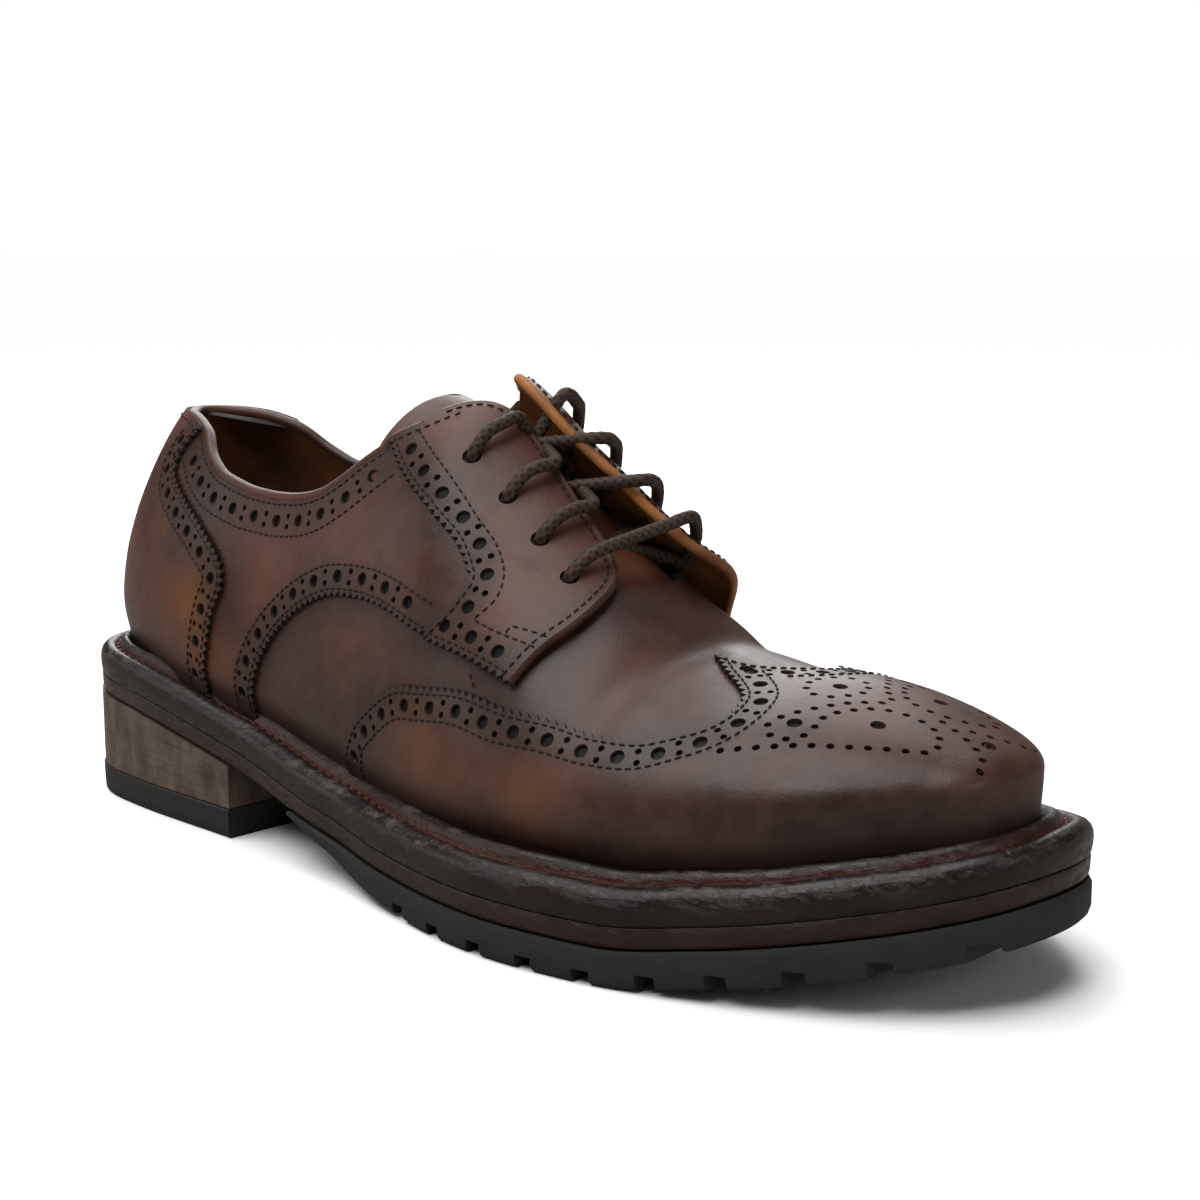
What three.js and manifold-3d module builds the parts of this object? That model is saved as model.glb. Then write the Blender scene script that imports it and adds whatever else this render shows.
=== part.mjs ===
// A right full brogue derby shoe in brown leather with a chunky welted sole.
// Millimetres, +Z up, toe toward +X, outer side of the foot toward -Y.
// The origin is on the floor, under the middle of the sole's length and width.
import * as THREE from 'three';
import { mergeVertices } from 'three/addons/utils/BufferGeometryUtils.js';
import Module from 'manifold-3d';

const wasm = await Module();
wasm.setup();

// Driving dimensions of the sole
const LENGTH = 312;
const BALL_WIDTH = 108;
const TIP_SHIFT = 5;
const RUBBER_THICKNESS = 9;
const HEEL_SEAT = 32;
const TOE_SPRING = 16;
const MIDSOLE_THICKNESS = 5;
const WELT_THICKNESS = 8.5;
const BEAD_HEIGHT = 3;
const LIFT_THICKNESS = 8.2;
const HEEL_LENGTH = 84;
const BREAST_HOLLOW = 3;
const BREAST_HALF_WIDTH = 37.8;
const EDGE_ROUNDING = 1.2;
const LAYER_INSET = 0.4;
const LUG_START = 0.54;
const LUG_PITCH = 15.2;
const LUG_COUNT = 10;
const LUG_NOTCH_WIDTH = 4.4;
const LUG_NOTCH_DEPTH = 3.4;
const LUG_NOTCH_FLARE = 1;
const LUG_NOTCH_REACH = 20;

// Driving dimensions of the upper
const HEEL_INSET = 6.5;
const TOE_INSET = 11.5;
const WELT_SHOW = 6;
const LAST_WIDTH = BALL_WIDTH - 2 * WELT_SHOW;
const LAST_TIP_SHIFT = 5;
const TUCK_HEIGHT = 10;
const TUCK = 0.07;
const INSTEP = 90;
const COLLAR_HEIGHT = 66;
const HEEL_LEAN = 20;
const LEAN_LENGTH = 0.224;
const TOE_BOX = 0.808;
const TOE_FULLNESS = 1.75;
const RIDGE_SHIFT = 5;
const WALL = 2;
const QUARTER_STEP = 1.2;
const OVERLAY = 1.2;
const GAP = 0.3;
const INSOLE_THICKNESS = 3;
const TONGUE_THICKNESS = 2.5;
const TONGUE_HALF_WIDTH = 23;
const TONGUE_TOP = 0.437;
const TONGUE_ROOT = 0.66;
const TONGUE_ROUND = 10;
const THROAT_HALF_WIDTH = 10;
const THROAT_CENTRE = 2.5;
const THROAT_TOP = 0.356;
const THROAT_ROOT = 0.62;
const THROAT_ROUND = 6;
const THROAT_LOW = 54;
const PEAK_LOW = 45;
const FLAP_EDGE = 4;
const FLAP_GAPE = 4;
const EYELET_RADIUS = 2.5;
const EYELET_DEPTH = 18;
const LACE_RADIUS = 1.65;
const LACE_OUT = 2.2;
const LACE_LIFT = 2.4;
const LACE_FORWARD = 5;
const CLEAR = 40;

// Sole outline: share of LENGTH, outer and inner half widths as shares of BALL_WIDTH
const SOLE_OUTLINE = [
  { at: 0.015, outer: 0.190, inner: 0.175 },
  { at: 0.05, outer: 0.290, inner: 0.265 },
  { at: 0.12, outer: 0.338, inner: 0.329 },
  { at: 0.20, outer: 0.356, inner: 0.347 },
  { at: 0.32, outer: 0.384, inner: 0.333 },
  { at: 0.42, outer: 0.435, inner: 0.329 },
  { at: 0.52, outer: 0.505, inner: 0.366 },
  { at: 0.62, outer: 0.560, inner: 0.435 },
  { at: 0.72, outer: 0.546, inner: 0.491 },
  { at: 0.82, outer: 0.468, inner: 0.500 },
  { at: 0.90, outer: 0.361, inner: 0.440 },
  { at: 0.96, outer: 0.227, inner: 0.315 },
  { at: 0.99, outer: 0.106, inner: 0.194 },
];

// Underside of the midsole: share of LENGTH, share of the heel's rise, share of TOE_SPRING
const SOLE_PROFILE = [
  { at: 0, heel: 1, toe: 0 },
  { at: 0.12, heel: 0.85, toe: 0 },
  { at: 0.265, heel: 0.51, toe: 0 },
  { at: 0.40, heel: 0.18, toe: 0 },
  { at: 0.50, heel: 0.04, toe: 0 },
  { at: 0.57, heel: 0, toe: 0 },
  { at: 0.74, heel: 0, toe: 0 },
  { at: 0.82, heel: 0, toe: 0.2 },
  { at: 0.90, heel: 0, toe: 0.5 },
  { at: 0.96, heel: 0, toe: 0.77 },
  { at: 1, heel: 0, toe: 1 },
];

// Thickness of the rubber half sole: share of LENGTH, share of RUBBER_THICKNESS
const RUBBER_PROFILE = [
  { at: 0.365, depth: 0.14 },
  { at: 0.42, depth: 0.45 },
  { at: 0.50, depth: 0.86 },
  { at: 0.57, depth: 1 },
];

// Last outline: share of the last's length, half widths as shares of LAST_WIDTH
const LAST_OUTLINE = [
  { at: 0.02, outer: 0.165, inner: 0.175 },
  { at: 0.06, outer: 0.250, inner: 0.255 },
  { at: 0.12, outer: 0.310, inner: 0.310 },
  { at: 0.20, outer: 0.345, inner: 0.330 },
  { at: 0.32, outer: 0.370, inner: 0.322 },
  { at: 0.42, outer: 0.415, inner: 0.322 },
  { at: 0.52, outer: 0.475, inner: 0.360 },
  { at: 0.62, outer: 0.520, inner: 0.420 },
  { at: 0.72, outer: 0.520, inner: 0.465 },
  { at: 0.82, outer: 0.460, inner: 0.475 },
  { at: 0.90, outer: 0.355, inner: 0.410 },
  { at: 0.96, outer: 0.215, inner: 0.285 },
  { at: 0.99, outer: 0.110, inner: 0.160 },
];

// Last sections: share of LENGTH, ridge height above the welt as a share of INSTEP,
// fullness of the section's shoulder, share of RIDGE_SHIFT toward the inner side
const LAST_SECTIONS = [
  { at: 0, ridge: 0.761, fullness: 1.9, shift: 0.6 },
  { at: 0.128, ridge: 0.813, fullness: 1.95, shift: 0.55 },
  { at: 0.224, ridge: 0.883, fullness: 2.0, shift: 0.48 },
  { at: 0.314, ridge: 0.953, fullness: 2.0, shift: 0.4 },
  { at: 0.417, ridge: 1.030, fullness: 1.93, shift: 0.6 },
  { at: 0.481, ridge: 1.012, fullness: 1.84, shift: 0.75 },
  { at: 0.545, ridge: 0.864, fullness: 1.7, shift: 0.9 },
  { at: 0.609, ridge: 0.683, fullness: 1.72, shift: 1 },
  { at: 0.670, ridge: 0.511, fullness: 1.75, shift: 0.92 },
  { at: 0.702, ridge: 0.453, fullness: 1.8, shift: 0.84 },
  { at: 0.731, ridge: 0.429, fullness: 1.86, shift: 0.75 },
  { at: 0.770, ridge: 0.400, fullness: 1.95, shift: 0.65 },
  { at: 0.814, ridge: 0.367, fullness: 2.05, shift: 0.55 },
  { at: 0.840, ridge: 0.348, fullness: 2.1, shift: 0.48 },
  { at: 0.971, ridge: 0.228, fullness: 2.2, shift: 0.1 },
];

// Heel back: share of COLLAR_HEIGHT above the welt, share of HEEL_LEAN forward
const HEEL_BACK = [
  { at: -0.3, lean: 0.075 },
  { at: 0, lean: 0.05 },
  { at: 0.14, lean: 0 },
  { at: 0.30, lean: 0.06 },
  { at: 0.485, lean: 0.225 },
  { at: 0.68, lean: 0.475 },
  { at: 0.864, lean: 0.75 },
  { at: 1, lean: 1 },
  { at: 1.21, lean: 1.4 },
];

// Topline: share of LENGTH, share of COLLAR_HEIGHT above the welt
const TOPLINE = [
  { at: -0.03, height: 0.955 },
  { at: 0.064, height: 0.980 },
  { at: 0.115, height: 0.985 },
  { at: 0.154, height: 0.964 },
  { at: 0.186, height: 0.890 },
  { at: 0.218, height: 0.855 },
  { at: 0.250, height: 0.853 },
  { at: 0.288, height: 0.871 },
  { at: 0.320, height: 0.905 },
  { at: 0.353, height: 0.964 },
  { at: 0.378, height: 1.044 },
  { at: 0.404, height: 1.155 },
  { at: 0.429, height: 1.247 },
  { at: 0.455, height: 1.309 },
  { at: 0.481, height: 1.373 },
  { at: 0.500, height: 1.403 },
];

// Edges seen from the side: share of LENGTH, height above the welt as a share of INSTEP
const QUARTER_EDGE = [
  { at: 0.288, height: 0.02 },
  { at: 0.298, height: 0.135 },
  { at: 0.320, height: 0.256 },
  { at: 0.353, height: 0.363 },
  { at: 0.387, height: 0.446 },
  { at: 0.413, height: 0.486 },
  { at: 0.455, height: 0.489 },
  { at: 0.500, height: 0.475 },
  { at: 0.532, height: 0.467 },
];
const FLAP_TIP = [
  { at: 0.577, height: 0.432 },
  { at: 0.615, height: 0.385 },
  { at: 0.627, height: 0.421 },
  { at: 0.636, height: 0.500 },
  { at: 0.638, height: 0.560 },
  { at: 0.635, height: 0.640 },
];
const FACING_REAR = [
  { at: 0.420, height: 0.920 },
  { at: 0.452, height: 0.830 },
  { at: 0.494, height: 0.758 },
  { at: 0.525, height: 0.703 },
  { at: 0.545, height: 0.637 },
  { at: 0.549, height: 0.600 },
  { at: 0.545, height: 0.560 },
  { at: 0.536, height: 0.490 },
];
const COUNTER_EDGE = [
  { at: 0.228, height: -0.13 },
  { at: 0.226, height: 0.030 },
  { at: 0.234, height: 0.155 },
  { at: 0.242, height: 0.262 },
  { at: 0.250, height: 0.350 },
  { at: 0.247, height: 0.415 },
  { at: 0.231, height: 0.458 },
  { at: 0.202, height: 0.504 },
  { at: 0.167, height: 0.540 },
  { at: 0.133, height: 0.592 },
  { at: 0.143, height: 0.720 },
];
const WING_EDGE = [
  { at: 0.424, height: -0.15 },
  { at: 0.427, height: 0.044 },
  { at: 0.440, height: 0.133 },
  { at: 0.462, height: 0.219 },
  { at: 0.497, height: 0.304 },
  { at: 0.535, height: 0.338 },
  { at: 0.580, height: 0.350 },
  { at: 0.625, height: 0.328 },
  { at: 0.667, height: 0.317 },
  { at: 0.705, height: 0.294 },
  { at: 0.734, height: 0.288 },
  { at: 0.756, height: 0.306 },
  { at: 0.772, height: 0.320 },
  { at: 0.779, height: 0.342 },
];
// Wing peak seen from above: share of LENGTH, half width as a share of LAST_WIDTH
const WING_PEAK = [
  { at: 0.779, half: 0.300 },
  { at: 0.778, half: 0.240 },
  { at: 0.774, half: 0.190 },
  { at: 0.760, half: 0.140 },
  { at: 0.737, half: 0.085 },
  { at: 0.713, half: 0.020 },
];
// Eyelets, top to bottom: share of LENGTH, share of the section height above its widest line
const EYELETS = [
  { at: 0.505, up: 0.905 },
  { at: 0.543, up: 0.905 },
  { at: 0.580, up: 0.895 },
  { at: 0.613, up: 0.885 },
];

// Welt profile: inset from the sole edge, height above the midsole
const WELT_PROFILE = [
  { inset: 1.0, height: GAP },
  { inset: 0.4, height: 0.35 * WELT_THICKNESS },
  { inset: 0.9, height: 0.78 * WELT_THICKNESS },
  { inset: 3.0, height: WELT_THICKNESS },
  { inset: 4.6, height: WELT_THICKNESS },
  { inset: 5.6, height: WELT_THICKNESS - 0.9 },
  { inset: 7.8, height: WELT_THICKNESS + 0.7 * BEAD_HEIGHT },
  { inset: 9.2, height: WELT_THICKNESS + BEAD_HEIGHT },
];

// Mesh densities
const SOLE_STATIONS = 28;
const LAST_STATIONS = 28;
const SHOULDER_STEPS = 6;
const TOPLINE_STEPS = 34;
const PROFILE_STEPS = 30;

// Monotone cubic through a table's column
function column(rows, key, unit = 1, scale = 1) {
  const x = rows.map((row) => row.at * unit);
  const y = rows.map((row) => row[key] * scale);
  const last = x.length - 1;
  const slope = x.slice(1).map((value, i) => (y[i + 1] - y[i]) / (value - x[i]));
  const tangent = x.map((value, i) => {
    if (i === 0 || i === last || slope[i - 1] * slope[i] <= 0) return 0;
    const before = x[i] - x[i - 1];
    const after = x[i + 1] - x[i];
    const first = 2 * after + before;
    const second = after + 2 * before;
    return (first + second) / (first / slope[i - 1] + second / slope[i]);
  });
  tangent[0] = slope[0];
  tangent[last] = slope[last - 1];
  return (value) => {
    const t = THREE.MathUtils.clamp(value, x[0], x[last]);
    let i = 0;
    while (i < last - 1 && t > x[i + 1]) i += 1;
    const h = x[i + 1] - x[i];
    const s = (t - x[i]) / h;
    return y[i] * (1 + 2 * s) * (1 - s) ** 2 + y[i + 1] * s * s * (3 - 2 * s)
      + h * (tangent[i] * s * (1 - s) ** 2 - tangent[i + 1] * s * s * (1 - s));
  };
}

// Rounded outline from half widths: centre line and half breadth at a share of its length
function outline(rows, width, tip) {
  const shape = rows.map((row) => ({
    at: row.at,
    round: (row.outer + row.inner) * width / 2 / Math.sqrt(row.at * (1 - row.at)),
    centre: (row.inner - row.outer) * width / 2,
  }));
  const round = column(shape, 'round');
  const centre = column([{ at: 0, centre: 0 }, ...shape, { at: 1, centre: tip }], 'centre');
  return (share, offset) => ({
    centre: centre(share),
    half: Math.sqrt(Math.max(share * (1 - share), 0)) * (round(share) + 2 * offset),
  });
}

const soleOutline = outline(SOLE_OUTLINE, BALL_WIDTH, TIP_SHIFT);
const lastOutline = outline(LAST_OUTLINE, LAST_WIDTH, LAST_TIP_SHIFT);
const heelRise = column(SOLE_PROFILE, 'heel', LENGTH, HEEL_SEAT - RUBBER_THICKNESS);
const toeRise = column(SOLE_PROFILE, 'toe', LENGTH, TOE_SPRING);
const rubberDepth = column(RUBBER_PROFILE, 'depth', LENGTH, RUBBER_THICKNESS);
const ridgeHeight = column(LAST_SECTIONS, 'ridge', LENGTH, INSTEP);
const fullness = column(LAST_SECTIONS, 'fullness', LENGTH);
const ridgeShift = column(LAST_SECTIONS, 'shift', LENGTH, RIDGE_SHIFT);
const backLean = column(HEEL_BACK, 'lean', COLLAR_HEIGHT, HEEL_LEAN);
const collarHeight = column(TOPLINE, 'height', LENGTH, COLLAR_HEIGHT);

const midsoleUnder = (x) => RUBBER_THICKNESS + heelRise(x) + toeRise(x);
const treadUnder = (x) => midsoleUnder(x) - rubberDepth(x);
const seat = (x) => midsoleUnder(x) + MIDSOLE_THICKNESS;
const weltLine = (x) => seat(x) + WELT_THICKNESS + BEAD_HEIGHT;
const widestLine = (x) => weltLine(x) + TUCK_HEIGHT;
const topline = (x) => weltLine(x) + collarHeight(x);
const lastStart = HEEL_INSET;
const lastEnd = LENGTH - TOE_INSET;
const leanEnd = LEAN_LENGTH * LENGTH;
const sidePoint = (row) => [row.at * LENGTH, weltLine(row.at * LENGTH) + row.height * INSTEP];

// Top of the last's section, offset outward from the upper's outer face
function ridgeLine(x, offset, gape) {
  const ridge = weltLine(x) + ridgeHeight(x);
  const rise = (ridgeHeight(x + 1) - ridgeHeight(x - 1) + weltLine(x + 1) - weltLine(x - 1)) / 2;
  const start = TOE_BOX * LENGTH;
  const share = THREE.MathUtils.clamp((x - start) / (lastEnd + offset - start), 0, 1);
  const closing = Math.sqrt(1 - share ** TOE_FULLNESS);
  const outward = offset * Math.hypot(1, rise) + gape;
  return widestLine(x) + (ridge + outward - widestLine(x)) * closing;
}

// Forward lean of the heel back at one height
function leanForward(plainX, z, offset) {
  if (plainX >= leanEnd) return plainX;
  const reach = leanEnd - lastStart + offset;
  const lean = backLean(z - weltLine(0));
  return leanEnd - (leanEnd - plainX) * (reach - lean) / reach;
}

// Point of the last's surface: share of its length, side (-1 outer, +1 inner),
// and a row: height up to the widest line, or share of the section above it
function lastPoint(share, side, row, offset, gape) {
  const plainX = lastStart - offset + share * (lastEnd - lastStart + 2 * offset);
  const plan = lastOutline(share, offset);
  let x = plainX;
  let z = 0;
  for (let pass = 0; pass < 4; pass += 1) {
    const low = row.base ? seat(x) + row.base : weltLine(x);
    z = row.up === undefined
      ? low + (widestLine(x) - low) * (row.low ?? 0)
      : widestLine(x) + (ridgeLine(x, offset, gape) - widestLine(x)) * row.up;
    x = leanForward(plainX, z, offset);
  }
  const up = row.up ?? 0;
  const below = THREE.MathUtils.clamp((widestLine(x) - z) / TUCK_HEIGHT, 0, 1);
  const profile = Math.sqrt(1 - up ** fullness(x)) * (1 - TUCK * below ** 2);
  const centre = plan.centre + ridgeShift(x) * up ** 1.6;
  return [x, centre + side * plan.half * profile, z];
}

// Closed mesh from rings that share their point count, ends drawn to a line
function ringSolid(rings) {
  const count = rings[0].length;
  const index = [];
  for (let i = 0; i < rings.length - 1; i += 1) {
    for (let j = 0; j < count; j += 1) {
      const a = i * count + j;
      const b = i * count + (j + 1) % count;
      index.push(a, b, b + count, a, b + count, a + count);
    }
  }
  const geometry = new THREE.BufferGeometry();
  geometry.setAttribute('position', new THREE.Float32BufferAttribute(rings.flat(2), 3));
  geometry.setIndex(index);
  return solid(geometry);
}

// Solid for cutting and joining, from a closed geometry
function solid(geometry) {
  geometry.deleteAttribute('normal');
  geometry.deleteAttribute('uv');
  const merged = mergeVertices(geometry, 1e-4);
  const points = merged.attributes.position.array;
  const triangles = [];
  const source = merged.index.array;
  for (let i = 0; i < source.length; i += 3) {
    const [a, b, c] = [source[i], source[i + 1], source[i + 2]];
    if (a !== b && b !== c && c !== a) triangles.push(a, b, c);
  }
  const build = (order) => new wasm.Manifold(new wasm.Mesh({
    numProp: 3,
    vertProperties: new Float32Array(points),
    triVerts: new Uint32Array(order),
  }));
  const first = build(triangles);
  if (first.volume() > 0) return first;
  return build(triangles.slice().reverse());
}

// Prism from an outline seen from the side, between two y values
function sidePrism(points, yLow, yHigh) {
  const shape = new THREE.Shape(points.map(([x, z]) => new THREE.Vector2(x, z)));
  const geometry = new THREE.ExtrudeGeometry(shape, { depth: yHigh - yLow, bevelEnabled: false });
  geometry.rotateX(Math.PI / 2);
  geometry.translate(0, yHigh, 0);
  return solid(geometry);
}

// Prism from an outline seen from above, between two heights
function planPrism(points, zLow, zHigh) {
  const shape = new THREE.Shape(points.map(([x, y]) => new THREE.Vector2(x, y)));
  const geometry = new THREE.ExtrudeGeometry(shape, { depth: zHigh - zLow, bevelEnabled: false });
  geometry.translate(0, 0, zLow);
  return solid(geometry);
}

// Smooth edge through a few points
function smooth(points, count) {
  const curve = new THREE.SplineCurve(points.map(([x, y]) => new THREE.Vector2(x, y)));
  return curve.getSpacedPoints(count).map((point) => [point.x, point.y]);
}

const SIDE = BALL_WIDTH;
const ABOVE = HEEL_SEAT + INSTEP + COLLAR_HEIGHT;
const BELOW = -CLEAR / 4;
const AHEAD = LENGTH + CLEAR;
const BEHIND = -CLEAR;

// Slab under the whole sole outline: rows of inset and height function
function slab(rows) {
  const rings = [];
  for (let i = 0; i <= SOLE_STATIONS; i += 1) {
    const share = (1 - Math.cos(Math.PI * i / SOLE_STATIONS)) / 2;
    const point = (row, side) => {
      const x = row.inset + share * (LENGTH - 2 * row.inset);
      const plan = soleOutline(share, -row.inset);
      return [x, plan.centre + side * plan.half, row.z(x)];
    };
    const up = rows.map((row) => point(row, -1));
    const down = rows.toReversed().map((row) => point(row, 1));
    rings.push([...up, ...down]);
  }
  return ringSolid(rings);
}

// The last's body, offset from the upper's outer face and standing on the seat
function lastBody(offset, { base = GAP, gape = 0 } = {}) {
  const side = [{ base, low: 0 }, { low: 0 }, { low: 0.45 }];
  for (let i = 0; i < SHOULDER_STEPS; i += 1) {
    side.push({ up: Math.sin(Math.PI / 2 * i / SHOULDER_STEPS) });
  }
  const rings = [];
  for (let i = 0; i <= LAST_STATIONS; i += 1) {
    const share = (1 - Math.cos(Math.PI * i / LAST_STATIONS)) / 2;
    const outer = side.map((row) => lastPoint(share, -1, row, offset, gape));
    const inner = side.map((row) => lastPoint(share, 1, row, offset, gape)).reverse();
    rings.push([...outer, lastPoint(share, 1, { up: 1 }, offset, gape), ...inner]);
  }
  return ringSolid(rings);
}

// Heel block behind the breast
function heelBlock() {
  const breast = smooth([
    [HEEL_LENGTH, -SIDE],
    [HEEL_LENGTH, -BREAST_HALF_WIDTH],
    [HEEL_LENGTH - BREAST_HOLLOW, 0],
    [HEEL_LENGTH, BREAST_HALF_WIDTH],
    [HEEL_LENGTH, SIDE],
  ], 16);
  return planPrism([[BEHIND, -SIDE], ...breast, [BEHIND, SIDE]], BELOW, ABOVE);
}

function heelLift() {
  const rows = [
    { inset: EDGE_ROUNDING, z: () => 0 },
    { inset: EDGE_ROUNDING / 6, z: () => 0.25 * LIFT_THICKNESS },
    { inset: 0, z: () => LIFT_THICKNESS },
  ];
  return slab(rows).intersect(heelBlock());
}

function heelStack() {
  const top = (x) => midsoleUnder(x) - GAP;
  const rows = [
    { inset: LAYER_INSET, z: () => LIFT_THICKNESS + GAP },
    { inset: LAYER_INSET, z: top },
  ];
  return slab(rows).intersect(heelBlock());
}

// Trapezoid groove across the tread between two y values
function lugGroove(x, yLow, yHigh) {
  const deep = treadUnder(x) + LUG_NOTCH_DEPTH;
  const narrow = LUG_NOTCH_WIDTH / 2;
  const wide = narrow + LUG_NOTCH_FLARE;
  const points = [[x - wide, BELOW], [x + wide, BELOW], [x + narrow, deep], [x - narrow, deep]];
  return sidePrism(points, yLow, yHigh);
}

// Notches in both edges at each lug station, and a short groove between stations
function lugGrooves() {
  const grooves = [];
  for (let station = 0; station < LUG_COUNT; station += 1) {
    const x = LUG_START * LENGTH + station * LUG_PITCH;
    const plan = soleOutline(x / LENGTH, 0);
    const inner = Math.max(plan.half - LUG_NOTCH_REACH, 0.3 * plan.half);
    grooves.push(lugGroove(x, -SIDE, plan.centre - inner));
    grooves.push(lugGroove(x, plan.centre + inner, SIDE));
    if (station === LUG_COUNT - 1) break;
    const middle = 0.5 * inner;
    grooves.push(lugGroove(x + LUG_PITCH / 2, plan.centre - middle, plan.centre + middle));
  }
  return grooves;
}

function halfSole() {
  const rows = [
    { inset: EDGE_ROUNDING, z: treadUnder },
    { inset: 0, z: (x) => treadUnder(x) + 0.2 * rubberDepth(x) },
    { inset: 0, z: (x) => midsoleUnder(x) - GAP - 0.1 * rubberDepth(x) },
    { inset: 2 * LAYER_INSET, z: (x) => midsoleUnder(x) - GAP },
  ];
  const start = RUBBER_PROFILE[0].at * LENGTH;
  const front = planPrism([[start, -SIDE], [AHEAD, -SIDE], [AHEAD, SIDE], [start, SIDE]], BELOW, ABOVE);
  return lugGrooves().reduce((sole, groove) => sole.subtract(groove), slab(rows).intersect(front));
}

function midsole() {
  return slab([
    { inset: EDGE_ROUNDING, z: midsoleUnder },
    { inset: 2 * LAYER_INSET, z: (x) => midsoleUnder(x) + 0.3 * MIDSOLE_THICKNESS },
    { inset: 2.5 * LAYER_INSET, z: seat },
  ]);
}

function welt() {
  const rows = WELT_PROFILE.map((row) => ({ inset: row.inset, z: (x) => seat(x) + row.height }));
  return slab(rows).subtract(lastBody(GAP, { base: -MIDSOLE_THICKNESS }));
}

// What lies above the topline, cut away to open the collar
function collarCutter(lift) {
  const start = TOPLINE[0].at * LENGTH;
  const end = TOPLINE[TOPLINE.length - 1].at * LENGTH;
  const edge = [];
  for (let i = 0; i <= TOPLINE_STEPS; i += 1) {
    const x = start + (end - start) * i / TOPLINE_STEPS;
    edge.push([x, topline(x) + lift]);
  }
  return sidePrism([[BEHIND, edge[0][1]], ...edge, [end, ABOVE], [BEHIND, ABOVE]], -SIDE, SIDE);
}

// Opening between the flaps, seen from above
function throatCutter() {
  const top = THROAT_TOP * LENGTH;
  const root = THROAT_ROOT * LENGTH;
  const low = THROAT_CENTRE - THROAT_HALF_WIDTH;
  const high = THROAT_CENTRE + THROAT_HALF_WIDTH;
  const shoulder = 0.6 * THROAT_HALF_WIDTH;
  const near = root - THROAT_ROUND / 6;
  const tip = smooth([[root - THROAT_ROUND, low], [near, THROAT_CENTRE - shoulder], [root, THROAT_CENTRE],
    [near, THROAT_CENTRE + shoulder], [root - THROAT_ROUND, high]], 10);
  return planPrism([[top, low], ...tip, [top, high]], THROAT_LOW, ABOVE);
}

// Side outlines of the panels
const quarterEdge = smooth(QUARTER_EDGE.map(sidePoint), 14);
const flapTip = smooth(FLAP_TIP.map(sidePoint), 10);
const facingRear = smooth(FACING_REAR.map(sidePoint), 14);
const flapTop = [flapTip[flapTip.length - 1][0], ABOVE];

function quarterRegion() {
  const points = [[BEHIND, BELOW], [quarterEdge[0][0], BELOW], ...quarterEdge, ...flapTip, flapTop,
    [BEHIND, ABOVE]];
  return sidePrism(points, -SIDE, SIDE);
}

// Place and outward direction of an eyelet on one side
function eyeletFrame(row, side) {
  const offset = QUARTER_STEP + GAP + OVERLAY;
  const gape = side > 0 ? FLAP_GAPE : 0;
  const share = (row.at * LENGTH - lastStart + offset) / (lastEnd - lastStart + 2 * offset);
  const at = (s, up) => new THREE.Vector3(...lastPoint(s, side, { up }, offset, gape));
  const point = at(share, row.up);
  const along = at(share + 0.01, row.up).sub(at(share - 0.01, row.up));
  const upward = at(share, row.up + 0.02).sub(at(share, row.up - 0.02));
  const normal = along.cross(upward).normalize();
  if (normal.z < 0) normal.negate();
  return { point, normal };
}

function eyeletHole(row, side) {
  const { point, normal } = eyeletFrame(row, side);
  const geometry = new THREE.CylinderGeometry(EYELET_RADIUS, EYELET_RADIUS, EYELET_DEPTH, 10);
  geometry.applyQuaternion(new THREE.Quaternion().setFromUnitVectors(new THREE.Vector3(0, 1, 0), normal));
  geometry.translate(point.x, point.y, point.z);
  return solid(geometry);
}

function withEyelets(body, sides) {
  let result = body;
  for (const side of sides) {
    for (const row of EYELETS) result = result.subtract(eyeletHole(row, side));
  }
  return result;
}

function upper() {
  const raised = lastBody(QUARTER_STEP).intersect(quarterRegion()).subtract(weltBlock());
  const outer = lastBody(0).add(raised);
  const hollow = outer.subtract(lastBody(-WALL, { base: -MIDSOLE_THICKNESS }));
  const open = hollow.subtract(collarCutter(0)).subtract(throatCutter());
  return withEyelets(open, [-1, 1]);
}

// Sheet between two offsets from the last, inside a region
function sheet(inner, thickness, region, gape = 0) {
  const outside = lastBody(inner + thickness, { gape });
  return outside.subtract(lastBody(inner, { base: -MIDSOLE_THICKNESS, gape })).intersect(region);
}

function toeCap() {
  const edge = smooth(WING_EDGE.map(sidePoint), 30);
  const front = edge[edge.length - 1];
  const sides = sidePrism([...edge, [front[0], ABOVE], [AHEAD, ABOVE], [AHEAD, BELOW],
    [edge[0][0], BELOW]], -SIDE, SIDE);
  const half = smooth(WING_PEAK.map((row) => [row.at * LENGTH, row.half * LAST_WIDTH]), 12);
  const other = half.map(([x, y]) => [x, -y]).reverse();
  const peak = planPrism([[AHEAD, half[0][1]], ...half, ...other, [AHEAD, -half[0][1]]],
    PEAK_LOW, ABOVE);
  return sheet(GAP, OVERLAY, sides.add(peak)).subtract(weltBlock());
}

// Everything lower than the welt's bead, with a small clearance
function weltBlock() {
  const line = [];
  for (let i = 0; i <= PROFILE_STEPS; i += 1) {
    const x = BEHIND + (AHEAD - BEHIND) * i / PROFILE_STEPS;
    line.push([x, weltLine(x) + GAP]);
  }
  return sidePrism([...line, [AHEAD, 2 * BELOW], [BEHIND, 2 * BELOW]], -SIDE, SIDE);
}

function counter() {
  const edge = smooth(COUNTER_EDGE.map(sidePoint), 24);
  const top = edge[edge.length - 1];
  const region = sidePrism([...edge, [BEHIND, top[1]], [BEHIND, edge[0][1]]], -SIDE, SIDE);
  return sheet(QUARTER_STEP + GAP, OVERLAY, region).subtract(weltBlock());
}

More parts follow.
